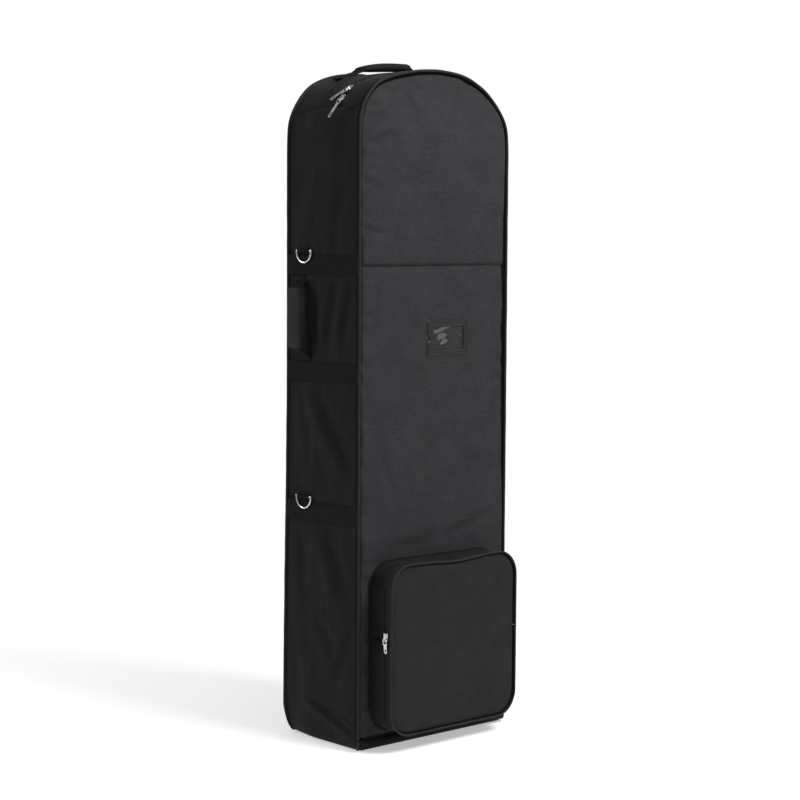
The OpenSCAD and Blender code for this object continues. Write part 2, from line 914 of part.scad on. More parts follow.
module buckle_sockets() {
    h = inner_web_w + 8;
    color("#101011") for (z = inner_strap_z) difference() {
        translate([socket_x, liner_y0 - 0.2 - buckle_t, z - h / 2]) cube([buckle_l, buckle_t, h]);
        translate([socket_x - 1, liner_y0 - 0.2 - buckle_t + 2, z - h / 2 + 3])
            cube([buckle_l - 4, buckle_t - 4, h - 6]);
    }
}

// Plug with two prongs that sit in the socket
module buckle_plug(z) {
    h = inner_web_w + 8;
    mid_y = liner_y0 - 0.2 - buckle_t / 2;
    prong_l = buckle_l - 8;
    color("#101011") {
        translate([socket_x - 0.4 - 22, liner_y0 - 0.2 - buckle_t, z - h / 2]) cube([22, buckle_t, h]);
        for (s = [-1, 1]) translate([socket_x - 0.6, mid_y - 2, z + s * (h / 2 - 6) - 2.4])
            cube([prong_l, 4, 4.8]);
        translate([socket_x - 0.6, mid_y - 2, z - 1.6]) cube([prong_l - 6, 4, 3.2]);
    }
}

// ---------- nodes ----------

front_panel_upper();
front_panel_lower();
crown_gusset_front();
right_gusset_front();
flap_zip_tape();
front_piping();
card_backing();
card_window();
card_frame();
pocket_gusset();
pocket_front_lower();
pocket_cover();
pocket_zip_tape_wall();
pocket_zip_tape_cover();
pocket_piping_lower();
pocket_piping_cover();
pocket_slider();
pocket_pull();
pocket_zip_tabs();
back_panel();
left_gusset();
crown_gusset_rear();
right_gusset_rear();
shell_zip_tape();
rear_piping();
base_boot();
boot_piping();
base_board();
back_stiffener();
crown_pad();
strap(strap_z[0]);  // strap_upper
strap(strap_z[1]);  // strap_middle
strap(strap_z[2]);  // strap_lower
ring_tab(strap_z[0]);  // ring_tab_upper
ring_tab(strap_z[2]);  // ring_tab_lower
d_ring(strap_z[0]);  // d_ring_upper
d_ring(strap_z[2]);  // d_ring_lower
side_handle_ends();
side_handle_webbing();
side_handle_grip();
top_handle_ends();
top_handle_webbing();
top_handle_grip();
zip_slider_upper();
zip_pull_upper();
zip_slider_lower();
zip_pull_lower();
wheel_housing(-1);  // wheel_housing_left
wheel_housing(1);  // wheel_housing_right
housing_screws();
wheel_axles();
wheel_tyre(-1);  // wheel_tyre_left
wheel_hub(-1);  // wheel_hub_left
wheel_tyre(1);  // wheel_tyre_right
wheel_hub(1);  // wheel_hub_right
inner_strap(inner_strap_z[1]);  // inner_strap_upper
inner_strap(inner_strap_z[0]);  // inner_strap_lower
buckle_sockets();
buckle_plug(inner_strap_z[1]);  // buckle_plug_upper
buckle_plug(inner_strap_z[0]);  // buckle_plug_lower
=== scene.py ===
import math

import bmesh
import bpy
import numpy as np
from mathutils import Matrix, Vector, noise
from mathutils.bvhtree import BVHTree

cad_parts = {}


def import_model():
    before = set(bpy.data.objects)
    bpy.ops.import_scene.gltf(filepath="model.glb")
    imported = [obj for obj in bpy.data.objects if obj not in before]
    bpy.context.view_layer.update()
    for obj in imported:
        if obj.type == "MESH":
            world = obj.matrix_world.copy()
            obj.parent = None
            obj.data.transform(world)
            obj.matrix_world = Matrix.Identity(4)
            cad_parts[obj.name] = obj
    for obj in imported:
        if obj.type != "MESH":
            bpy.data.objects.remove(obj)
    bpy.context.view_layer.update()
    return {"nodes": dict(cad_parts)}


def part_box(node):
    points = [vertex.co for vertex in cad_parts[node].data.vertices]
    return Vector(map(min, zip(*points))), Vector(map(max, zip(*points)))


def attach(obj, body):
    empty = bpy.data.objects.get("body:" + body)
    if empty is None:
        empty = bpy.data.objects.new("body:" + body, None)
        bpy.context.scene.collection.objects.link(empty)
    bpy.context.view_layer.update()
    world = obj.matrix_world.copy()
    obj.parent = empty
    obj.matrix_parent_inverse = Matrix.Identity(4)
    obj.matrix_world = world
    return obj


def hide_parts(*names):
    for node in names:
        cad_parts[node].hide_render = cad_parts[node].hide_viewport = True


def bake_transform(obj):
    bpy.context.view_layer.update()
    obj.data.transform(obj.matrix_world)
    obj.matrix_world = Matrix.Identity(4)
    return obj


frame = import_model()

PI = math.pi


# ---------------------------------------------------------------- frame dimensions

def lo(node):
    """Low corner of a CAD node's box; hi and mid give its high corner and its middle."""
    return np.array(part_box(node)[0], float)


def hi(node):
    return np.array(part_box(node)[1], float)


def mid(node):
    return (lo(node) + hi(node)) / 2


HW = hi("back_panel")[0]  # half width
YF, YB = lo("front_panel_lower")[1], hi("back_panel")[1]  # front and back faces
T = hi("front_panel_lower")[1] - YF  # thickness of the padded walls
TOP = hi("crown_gusset_rear")[2]
# the arch: shoulder arcs of radius R1 round (SX, SZ) and a crown arc of radius R2 round (0, CZ), which meet
# at the angle JA
SX = hi("crown_pad")[0]
SZ = lo("crown_gusset_rear")[2] - 0.0001
R1 = HW - SX
R2 = (R1 ** 2 - SX ** 2 - (SZ - TOP) ** 2) / (2 * (R1 + SZ - TOP))
CZ = TOP - R2
JA = math.atan2(SZ - CZ, SX)
BOOT = hi("base_boot")[2]
FLAP0 = lo("front_panel_lower")[2]  # bottom edge of the flap
SEAM = lo("front_panel_upper")[2]  # level seam across the front
ZY0, ZY1 = hi("crown_gusset_front")[1], lo("crown_gusset_rear")[1]  # the main zip's two edges
ZY = (ZY0 + ZY1) / 2
PIPE = (hi("rear_piping")[1] - lo("rear_piping")[1]) / 2  # radius of the cords
PX, PY = HW + 2.19e-3, YB + 2.19e-3  # centres of the cords
STRAPS = [mid("strap_upper")[2], mid("strap_middle")[2], mid("strap_lower")[2]]
WEB = hi("strap_upper")[2] - lo("strap_upper")[2]  # width of the webbing
# distances along the arch from the floor, up the left side and down the right
L1, L2 = R1 * JA, R2 * (PI - 2 * JA)
LT = 2 * SZ + 2 * L1 + L2
S_END = SZ + R1 * math.asin((hi("left_gusset")[2] - SZ) / R1)  # where the left side meets the crown
S_TOP = LT - SZ  # where the crown meets the right side
HOUSINGS = ("wheel_housing_left", "wheel_housing_right")


def prof(s):
    """Point and outward direction of the arch outline at distance s from the floor, up the left side."""
    s = np.asarray(s, float)
    a = np.where(s < SZ + L1, PI - (s - SZ) / R1,
                 np.where(s < SZ + L1 + L2, PI - JA - (s - SZ - L1) / R2, JA - (s - SZ - L1 - L2) / R1))
    a = np.clip(a, 0, PI)
    cx = np.where(s < SZ + L1, -SX, np.where(s < SZ + L1 + L2, 0, SX))
    cz = np.where((s < SZ + L1) | (s > SZ + L1 + L2), SZ, CZ)
    r = np.where((s < SZ + L1) | (s > SZ + L1 + L2), R1, R2)
    nx, nz = np.cos(a), np.sin(a)
    x, z = cx + r * nx, cz + r * nz
    low = s < SZ
    x, z = np.where(low, -HW, x), np.where(low, s, z)
    far = s > LT - SZ
    x, z = np.where(far, HW, x), np.where(far, LT - s, z)
    return x, z, nx, nz


def edge_dist(x, z):
    """Distance inside the arch outline."""
    ax = np.abs(x)
    d = HW - ax
    up = z > SZ
    ang = np.arctan2(z - CZ, ax)
    sh = R1 - np.hypot(ax - SX, z - SZ)
    cr = R2 - np.hypot(ax, z - CZ)
    return np.where(up, np.where(ang < JA, sh, cr), d)


def top_z(x, inset):
    """Height of the arch outline, moved in by inset, over a place across the case."""
    ax = np.abs(x)
    r1, r2 = R1 - inset, R2 - inset
    crown = CZ + np.sqrt(np.maximum(r2 ** 2 - ax ** 2, 0))
    shoulder = SZ + np.sqrt(np.maximum(r1 ** 2 - np.maximum(ax - SX, 0) ** 2, 0))
    return np.where(ax < r2 * math.cos(JA), crown, shoulder)


def xyz(x, y, z):
    """Points from three coordinates, each an array or one number."""
    return np.stack(np.broadcast_arrays(*(np.asarray(v, float) for v in (x, y, z))), -1)


def smooth(a, b, v):
    """Eased step from 0 at a to 1 at b."""
    t = np.clip((v - a) / (b - a), 0, 1)
    return t * t * (3 - 2 * t)


def unit(v):
    """Vectors scaled to length one."""
    return v / np.linalg.norm(v, axis=-1, keepdims=True)


def noise3(x, y, z):
    """Noise at the points of three coordinates, each an array or one number."""
    p = xyz(x, y, z)
    return np.array([noise.noise(Vector(q)) for q in p.reshape(-1, 3)]).reshape(p.shape[:-1])


def grid_noise(A, B, sa, sb, seed=0.0):
    """Noise over two coordinate grids with its own scale along each."""
    return noise3(A / sa + seed, B / sb - 2 * seed, seed * 0.37)


def crease(u, v, p, q, width, depth):
    """A fold line from p to q: a narrow valley with a soft ridge beside it."""
    p, q = np.array(p, float), np.array(q, float)
    d = q - p
    n = np.hypot(*d)
    t = ((u - p[0]) * d[0] + (v - p[1]) * d[1]) / n ** 2
    side = ((u - p[0]) * -d[1] + (v - p[1]) * d[0]) / n
    fade = smooth(-0.15, 0.25, t) * (1 - smooth(0.7, 1.15, t))
    valley = np.exp(-(side / width) ** 2)
    ridge = 0.7 * np.exp(-((side - 1.7 * width) / (1.3 * width)) ** 2)
    return fade * depth * (ridge - valley)


def folds(u, v, table, gain=1.0):
    """All the fold lines of a table of (start, end, width, depth) rows."""
    return sum(crease(u, v, p, q, w, gain * d) for p, q, w, d in table)


def soft(P):
    """The slack of the whole sewn shell: the same small shift for every fabric piece at one place."""
    P = np.array(P, float)
    x, y, z = P[..., 0], P[..., 1], P[..., 2]
    out = P.copy()
    front = 1 - smooth(YF, YF + 0.13, y)
    ang = np.arctan2(z - SZ + 0.03, x - SX + 0.02)
    near = smooth(SX - 0.06, SX + 0.01, x) * smooth(SZ - 0.05, SZ + 0.015, z)
    droop = (0.0035 + 0.0095 * front) * near * np.exp(-((ang - 0.85) / 0.5) ** 2)
    out[..., 0] -= droop * 0.72
    out[..., 2] -= droop * 0.8
    free = smooth(-HW + 0.01, -HW + 0.12, x)
    sag = 0.0022 * np.sin(PI * np.clip((x + HW) / (2 * HW), 0, 1)) * smooth(SZ, TOP, z)
    out[..., 2] -= free * front * sag
    back = smooth(YB - 0.09, YB, y)
    left = smooth(-HW + 0.09, -HW + 0.004, x)
    slack = back * left * smooth(0.03, 0.75, z)
    out[..., 0] += 0.0046 * slack
    out[..., 1] -= 0.0046 * slack
    ang = np.arctan2(z - SZ + 0.02, -x - SX + 0.01)
    near = smooth(SX - 0.05, SX + 0.01, -x) * smooth(SZ - 0.06, SZ + 0.01, z) * smooth(-0.01, 0.08, y)
    droop = 0.0062 * near * np.exp(-((ang - 0.8) / 0.55) ** 2)
    out[..., 0] += droop * 0.75
    out[..., 2] -= droop * 0.75
    foot = 1 - smooth(0.004, 0.06, z)
    corner = foot * np.exp(-(np.clip(x + HW, 0, 1) + np.clip(YB - y, 0, 1)) / 0.02)
    out[..., 0] += 0.0065 * corner
    out[..., 1] -= 0.0065 * corner
    return out


# ---------------------------------------------------------------- meshes

def build(name, verts, faces, mats, index=None, fix=True):
    """Smooth-shaded mesh object; index gives each face its material, fix turns the faces outward."""
    mesh = bpy.data.meshes.new(name)
    mesh.from_pydata([tuple(v) for v in verts], [], [tuple(int(i) for i in f) for f in faces])
    o = bpy.data.objects.new(name, mesh)
    bpy.context.scene.collection.objects.link(o)
    for m in mats:
        mesh.materials.append(m)
    mesh.polygons.foreach_set("use_smooth", [True] * len(mesh.polygons))
    if index is not None:
        mesh.polygons.foreach_set("material_index", list(index))
    if fix:
        bm = bmesh.new()
        bm.from_mesh(mesh)
        bmesh.ops.recalc_face_normals(bm, faces=bm.faces)
        bm.to_mesh(mesh)
        bm.free()
    mesh.update()
    return o


def subdivide(o, level=1, corners=False):
    """Smooths an object by subdivision."""
    m = o.modifiers.new("smooth", "SUBSURF")
    m.levels = m.render_levels = level
    if corners:
        m.boundary_smooth = "PRESERVE_CORNERS"


def quads(nu, nv, off=0, wrap=False):
    """Faces over a grid of points, closed along its first side with wrap."""
    a, b = np.meshgrid(np.arange(nu if wrap else nu - 1), np.arange(nv - 1), indexing="ij")
    c = (a + 1) % nu
    return np.stack([a * nv + b, c * nv + b, c * nv + b + 1, a * nv + b + 1], -1).reshape(-1, 4) + off


def sheet(name, outer, inner, mats, level=1, wrap=False):
    """Closed panel between an outer and an inner grid of points."""
    nu, nv = outer.shape[:2]
    n = nu * nv
    f_out, f_in = quads(nu, nv, 0, wrap), quads(nu, nv, n, wrap)
    rim = []
    for j in (0, nv - 1):
        for i in range(nu if wrap else nu - 1):
            a, b = i * nv + j, ((i + 1) % nu) * nv + j
            rim.append((a, b, b + n, a + n))
    for i in (() if wrap else (0, nu - 1)):
        for a in range(i * nv, i * nv + nv - 1):
            rim.append((a, a + 1, a + 1 + n, a + n))
    faces = list(f_out) + list(f_in) + rim
    index = [0] * len(f_out) + [min(1, len(mats) - 1)] * len(f_in) + [0] * len(rim)
    o = build(name, np.concatenate([outer.reshape(-1, 3), inner.reshape(-1, 3)]), faces, mats, index)
    if level:
        subdivide(o, level, corners=True)
    return o


def loft(name, rings, mats, closed=False, level=0):
    """Skin over a stack of equal rings of points, capped at both ends unless it is closed."""
    rings = np.array(rings)
    nu, nv = rings.shape[:2]
    faces = []
    for i in range(nu if closed else nu - 1):
        k = (i + 1) % nu
        for j in range(nv):
            m = (j + 1) % nv
            faces.append((i * nv + j, k * nv + j, k * nv + m, i * nv + m))
    if not closed:
        faces.append(tuple(range(nv)))
        faces.append(tuple((nu - 1) * nv + j for j in range(nv)))
    o = build(name, rings.reshape(-1, 3), faces, mats)
    if level:
        subdivide(o, level)
    return o


def band(name, pts, normal, width, thick, mats, ribs=5, wave=0.0, seed=0.0):
    """Flat woven band along pts; normal points off its face."""
    pts = np.array(pts, float)
    t = unit(np.gradient(pts, axis=0))
    a = unit(np.cross(t, np.broadcast_to(np.array(normal, float), pts.shape)))
    b = np.cross(a, t)
    u = np.linspace(-1, 1, 2 * ribs + 1)
    w = np.array([0.5 + 0.5 * (i % 2) for i in range(len(u))])
    edge = 1 - 0.35 * (np.abs(u) > 0.97)
    face = [(v * width / 2, thick * (0.5 + 0.06 * (q - 0.5)) * e) for v, q, e in zip(u, w, edge)]
    back = [(v * width / 2, -thick * 0.5 * e) for v, e in zip(u[::-1], edge[::-1])]
    cross = np.array(face + back)
    rings = pts[:, None] + cross[None, :, :1] * a[:, None] + cross[None, :, 1:] * b[:, None]
    if wave:
        d = np.cumsum(np.r_[0, np.linalg.norm(np.diff(pts, axis=0), axis=1)])
        k = noise3(d / 0.03 + seed, seed, 0)
        rings += (wave * k)[:, None, None] * b[:, None]
    return loft(name, rings, mats, level=1)


BEAD = np.array([(0, 0, 1), (0.7, 0.55, 0.35), (0.7, -0.55, 0.35), (-0.7, 0.55, 0.35), (-0.7, -0.55, 0.35),
                 (1, 0, -0.3), (-1, 0, -0.3), (0, 1, -0.3), (0, -1, -0.3), (0, 0, -1)])
BEAD_FACES = [(0, 1, 3), (0, 2, 1), (0, 4, 2), (0, 3, 4), (1, 7, 3), (2, 4, 8), (1, 5, 7), (1, 2, 5),
              (2, 8, 5), (3, 7, 6), (3, 6, 4), (4, 6, 8), (9, 7, 5), (9, 5, 8), (9, 8, 6), (9, 6, 7)]


def at(s, d, table):
    """The rows of a table at the distances s, where its own rows stand at the distances d."""
    return np.stack([np.interp(s, d, table[:, k]) for k in range(3)], 1)


def stations(pts, pitch):
    """Evenly spaced distances along a line of points, and the distance of each point."""
    d = np.r_[0, np.cumsum(np.linalg.norm(np.diff(pts, axis=0), axis=1))]
    n = max(1, int(d[-1] / pitch))
    return (np.arange(n) + 0.5) * d[-1] / n, d


def beads(verts, faces, c, t, n, size):
    """Adds one small rounded bead of a length, width and height at each place c."""
    long, wide, high = size
    w = np.cross(n, t)
    for i in range(len(c)):
        base = len(verts)
        for bx, by, bz in BEAD:
            verts.append(c[i] + t[i] * bx * long / 2 + w[i] * by * wide / 2 + n[i] * bz * high)
        faces += [tuple(base + k for k in f) for f in BEAD_FACES]


def stitches(name, lines, mats, pitch=0.0042, size=(0.0030, 0.0008, 0.0005)):
    """Rows of thread stitches; each line is (points, outward direction or directions)."""
    verts, faces = [], []
    for pts, out in lines:
        pts = np.array(pts, float)
        s, d = stations(pts, pitch)
        n = unit(at(s, d, np.broadcast_to(np.array(out, float), pts.shape)))
        t = unit(at(s + 1e-4, d, pts) - at(s - 1e-4, d, pts))
        beads(verts, faces, at(s, d, pts), t, n, size)
    return build(name, verts, faces, mats)


def teeth(name, pts, out, pitch, size):
    """Row of moulded zip teeth along a line; each is a small rounded loop."""
    verts, faces = [], []
    pts = np.array(pts, float)
    s, d = stations(pts, pitch)
    c = at(s, d, pts)
    n = unit(at(s, d, np.broadcast_to(np.array(out, float), pts.shape)))
    beads(verts, faces, c, unit(np.gradient(c, axis=0)), n, size)
    return build(name, verts, faces, [M["coil"]])


# ---------------------------------------------------------------- materials

class Nodes:
    """Builds one procedural material."""

    def __init__(self, name):
        self.m = bpy.data.materials.new(name)
        self.m.use_nodes = True
        self.t = self.m.node_tree
        self.t.nodes.clear()
        self.out = self.add("ShaderNodeOutputMaterial")
        self.bsdf = self.add("ShaderNodeBsdfPrincipled")
        self.join(self.bsdf.outputs[0], self.out.inputs[0])

    def add(self, kind, **values):
        n = self.t.nodes.new(kind)
        for k, v in values.items():
            setattr(n, k, v)
        return n

    def join(self, a, b):
        self.t.links.new(a, b)

    def coords(self, scale):
        tc = self.add("ShaderNodeTexCoord")
        mp = self.add("ShaderNodeMapping")
        mp.inputs["Scale"].default_value = scale
        self.join(tc.outputs["Object"], mp.inputs[0])
        return mp.outputs[0]

    def noise(self, scale, detail=2.0, rough=0.5, stretch=(1, 1, 1)):
        n = self.add("ShaderNodeTexNoise")
        n.inputs["Scale"].default_value = scale
        n.inputs["Detail"].default_value = detail
        n.inputs["Roughness"].default_value = rough
        self.join(self.coords(stretch), n.inputs["Vector"])
        return n.outputs["Fac"]

    def wave(self, axis, pitch):
        w = self.add("ShaderNodeTexWave", wave_type="BANDS", bands_direction=axis, wave_profile="SIN")
        w.inputs["Scale"].default_value = PI / 10 / pitch
        self.join(self.coords((1, 1, 1)), w.inputs["Vector"])
        return w.outputs["Fac"]

    def math(self, op, a, b):
        n = self.add("ShaderNodeMath", operation=op)
        for i, v in enumerate((a, b)):
            if isinstance(v, (int, float)):
                n.inputs[i].default_value = v
            else:
                self.join(v, n.inputs[i])
        return n.outputs[0]

    def ramp(self, fac, a, b, c0, c1):
        r = self.add("ShaderNodeMapRange")
        r.inputs["From Min"].default_value, r.inputs["From Max"].default_value = a, b
        r.inputs["To Min"].default_value, r.inputs["To Max"].default_value = c0, c1
        self.join(fac, r.inputs["Value"])
        return r.outputs["Result"]

    def tint(self, fac, dark, light):
        m = self.add("ShaderNodeMix", data_type="RGBA")
        m.inputs["A"].default_value, m.inputs["B"].default_value = (*dark, 1), (*light, 1)
        self.join(fac, m.inputs["Factor"])
        self.join(m.outputs["Result"], self.bsdf.inputs["Base Color"])

    def bump(self, height, distance):
        b = self.add("ShaderNodeBump")
        b.inputs["Strength"].default_value = 1.0
        b.inputs["Distance"].default_value = distance
        self.join(height, b.inputs["Height"])
        self.join(b.outputs[0], self.bsdf.inputs["Normal"])

    def total(self, *terms):
        """Weighted sum of (value, weight) terms."""
        parts = [v if w == 1 else self.math("MULTIPLY", v, w) for v, w in terms]
        out = parts[0]
        for p in parts[1:]:
            out = self.math("ADD", out, p)
        return out

    def roughness(self, fac, low, high):
        self.join(self.ramp(fac, 0.3, 0.7, low, high), self.bsdf.inputs["Roughness"])

    def set(self, **values):
        for k, v in values.items():
            self.bsdf.inputs[k.replace("_", " ")].default_value = v


def scaled(colour, k):
    return tuple(c * k for c in colour)


def woven(name, colour, warp, weft, pitch=0.0016, rough=0.88, sheen=0.02, depth=0.00022, vary=0.30,
          spec=0.12):
    """Coarse plain-weave polyester: crossing yarns, slubs, blotches and a faint sheen."""
    n = Nodes(name)
    a, b = n.wave(warp, pitch), n.wave(weft, pitch)
    checker = n.math("MULTIPLY", n.math("SUBTRACT", a, 0.5), n.math("SUBTRACT", b, 0.5))
    weave = n.total((checker, 2.0), (n.math("MAXIMUM", a, b), 1))
    slub_a = n.noise(620, 2.0, stretch=tuple(0.07 if k == warp else 1 for k in "XYZ"))
    slub_b = n.noise(900, 1.0, stretch=tuple(0.05 if k == weft else 1 for k in "XYZ"))
    slub = n.total((slub_a, 1), (slub_b, 0.5))
    blotch = n.noise(18, 4.0, 0.6)
    fine = n.noise(260, 2.0, 0.6)
    fac = n.total((blotch, 0.55), (fine, 0.55), (slub, 0.62), (weave, 0.08))
    n.tint(n.ramp(fac, 0.68, 1.42, 0, 1), scaled(colour, 1 - vary), scaled(colour, 1 + vary))
    n.roughness(fine, rough - 0.07, min(1, rough + 0.08))
    n.bump(n.total((weave, 0.6), (slub, 0.5)), depth)
    n.set(Sheen_Weight=sheen, Sheen_Roughness=0.4, Specular_IOR_Level=spec)
    return n.m


def webbing(name, colour, along, across, pitch=0.0011, rough=0.8):
    """Ribbed nylon band: tight ribs across, chevron yarns along."""
    n = Nodes(name)
    ribs = n.wave(along, pitch)
    cols = n.wave(across, pitch * 2.2)
    fine = n.noise(500, 2.0, 0.6)
    blotch = n.noise(30, 3.0)
    h = n.total((ribs, 0.7), (n.math("MULTIPLY", ribs, cols), 0.8))
    fac = n.total((h, 0.35), (fine, 0.3), (blotch, 0.4))
    n.tint(n.ramp(fac, 0.3, 1.0, 0, 1), scaled(colour, 0.7), scaled(colour, 1.35))
    n.roughness(fine, rough - 0.08, rough + 0.1)
    n.bump(h, 0.00014)
    n.set(Sheen_Weight=0.0, Specular_IOR_Level=0.06)
    return n.m


def metal(name, colour, rough=0.2):
    """Plated metal with faint smears."""
    n = Nodes(name)
    smear = n.noise(700, 3.0, 0.6, stretch=(1, 1, 0.15))
    blot = n.noise(90, 3.0)
    n.tint(n.ramp(blot, 0.35, 0.7, 0, 1), scaled(colour, 0.88), colour)
    n.roughness(smear, rough * 0.8, rough * 1.5)
    n.bump(smear, 0.00004)
    n.set(Metallic=1.0)
    return n.m


def plastic(name, colour, rough=0.5, grain=0.0001, scale=900, spec=0.5):
    """Moulded plastic, rubber, foam or board with a fine grain."""
    n = Nodes(name)
    g = n.noise(scale, 3.0, 0.6)
    b = n.noise(25, 3.0)
    n.tint(n.ramp(b, 0.3, 0.7, 0, 1), scaled(colour, 0.85), scaled(colour, 1.15))
    n.roughness(g, rough * 0.85, min(1, rough * 1.15))
    n.bump(g, grain)
    n.set(Specular_IOR_Level=spec)
    return n.m


def thread(name, colour):
    """Sewing thread."""
    n = Nodes(name)
    n.tint(n.noise(1500, 2.0), scaled(colour, 0.7), scaled(colour, 1.3))
    n.set(Roughness=0.85, Specular_IOR_Level=0.08)
    return n.m


def clear_vinyl(name):
    """Clear window sheet: nearly see-through, with a soft shine."""
    n = Nodes(name)
    w = n.noise(45, 3.0)
    n.tint(w, (0.5, 0.52, 0.55), (0.62, 0.64, 0.67))
    n.roughness(w, 0.16, 0.28)
    n.bump(w, 0.00035)
    n.set(Alpha=0.10, IOR=1.5, Specular_IOR_Level=0.22)
    return n.m


PANEL = (0.0225, 0.0230, 0.0247)
SIDE = (0.0090, 0.0092, 0.0101)
WEBBING = (0.0104, 0.0106, 0.0114)
M = {
    "panel": woven("panel_weave", PANEL, "X", "Z", vary=0.42),
    "side": woven("side_weave", SIDE, "Y", "Z"),
    "crown": woven("crown_weave", SIDE, "X", "Y"),
    "back": woven("back_weave", SIDE, "X", "Z"),
    "pocket": woven("pocket_weave", (0.0150, 0.0153, 0.0165), "X", "Z", vary=0.40),
    "lining": woven("lining_weave", (0.05, 0.051, 0.054), "X", "Z", pitch=0.0009, rough=0.6, depth=0.0001),
    "cord": woven("cord_cover", (0.0170, 0.0173, 0.0186), "Y", "Z", pitch=0.001, rough=0.75,
                  depth=0.0001, spec=0.14),
    # near-black painted shade for the cords' seam allowance, standing in for the shadow in the groove
    # beside each cord
    "painted_shade": plastic("seam_painted_shade", (0.0022, 0.0022, 0.0024), 0.9, 0.0001, 900, 0.1),
    "web_side": webbing("webbing_side", WEBBING, "Y", "Z"),
    "web_up": webbing("webbing_upright", WEBBING, "Z", "Y"),
    "web_cross": webbing("webbing_cross", WEBBING, "X", "Y"),
    "web_in": webbing("webbing_inside", (0.013, 0.0132, 0.014), "X", "Z"),
    "grip": woven("grip_weave", (0.0215, 0.022, 0.0235), "Y", "Z", pitch=0.0012, sheen=0.05, depth=0.00016),
    "grip_dark": woven("grip_dark_weave", (0.011, 0.0112, 0.0121), "X", "Y", pitch=0.0012, sheen=0.0,
                       depth=0.00016),
    "tape": woven("zip_tape_weave", (0.007, 0.0071, 0.0078), "Y", "Z", pitch=0.0008, rough=0.7,
                  depth=0.0001),
    "coil": plastic("zip_coil", (0.009, 0.009, 0.01), 0.38, 0.00003),
    "thread": thread("thread_dark", (0.013, 0.0132, 0.0142)),
    # grey thread, partly a painted highlight: its stitches give the side grip's edges their lighter line
    "grey_thread_and_highlight": thread("thread_grey_and_highlight", (0.06, 0.061, 0.065)),
    "nickel": metal("nickel", (0.62, 0.628, 0.64), 0.22),
    "ring": metal("ring_nickel", (0.62, 0.626, 0.635), 0.18),
    "steel": metal("axle_steel", (0.55, 0.56, 0.57), 0.35),
    "frame": plastic("card_frame_vinyl", (0.0075, 0.0077, 0.0084), 0.24, 0.00004, 500, 0.7),
    "card": woven("card_back_weave", (0.016, 0.0162, 0.0175), "X", "Z", pitch=0.0009, rough=0.6,
                  depth=0.0001),
    "vinyl": clear_vinyl("card_window_vinyl"),
    "board": plastic("moulded_board", (0.06, 0.061, 0.064), 0.7, 0.0002, 500),
    "housing": plastic("housing_plastic", (0.012, 0.0122, 0.013), 0.5, 0.00018, 700),
    "hub": plastic("hub_plastic", (0.055, 0.056, 0.06), 0.4, 0.00006),
    "rubber": plastic("tyre_rubber", (0.0085, 0.0085, 0.009), 0.75, 0.0002, 900, 0.3),
    "acetal": plastic("buckle_acetal", (0.01, 0.01, 0.011), 0.35, 0.00003),
    "foam": plastic("foam_pad", (0.05, 0.05, 0.052), 0.95, 0.0004, 1200, 0.2),
}


def freeze(o):
    """Applies the object's modifiers."""
    bpy.context.view_layer.objects.active = o
    for m in list(o.modifiers):
        bpy.ops.object.modifier_apply(modifier=m.name)


def paint(material, *nodes):
    """Gives CAD pieces a material."""
    for n in nodes:
        mesh = frame["nodes"][n].data
        mesh.materials.clear()
        mesh.materials.append(M[material])


def done(o, body, slot, *nodes):
    """Puts a piece on one body and hides the CAD nodes that it stands for."""
    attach(o, body)
    if nodes:
        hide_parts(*nodes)


def bends(o, slot, bodies, start, end, *nodes):
    """Applies a soft piece's modifiers, hides the CAD nodes that it stands for and bakes its transform;
    bodies, start and end are not used.
    """
    freeze(o)
    if nodes:
        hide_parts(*nodes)
    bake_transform(o)


# ---------------------------------------------------------------- front panel

def roll_off(d, width=0.007, drop=0.0032):
    """Height lost close to a sewn edge."""
    k = np.clip(1 - d / width, 0, 1)
    return drop * k * k


EDGE_NEAR, EDGE_FAR = 0.0042, 0.0008


def edge_inset(x):
    """Gap between the front fabric and the case's edge: open beside the left cord, tight at the right."""
    return EDGE_FAR + (EDGE_NEAR - EDGE_FAR) * (1 - smooth(-0.06, 0.08, x))


def panel_grid(z0, z1, nx, nz, inset=None, arch=False):
    """Places over the front or back face, closer near its edges; arch takes it up to the crown."""
    t = np.linspace(-1, 1, nx)[:, None] * np.ones((1, nz))
    v = np.linspace(0, 1, nz)[None, :] * np.ones((nx, 1))
    inset = edge_inset(HW * np.sin(PI / 2 * t)) if inset is None else inset
    w = HW - inset
    if not arch:
        return w * (0.35 * np.sin(PI / 2 * t) + 0.65 * t), z0 + (z1 - z0) * v
    k = 0.35 + 0.65 * smooth(0.35, 1, v)
    x = w * ((1 - k) * t + k * np.sin(PI / 2 * t))
    zt = top_z(x, inset)
    return x, z0 + (zt - z0) * v


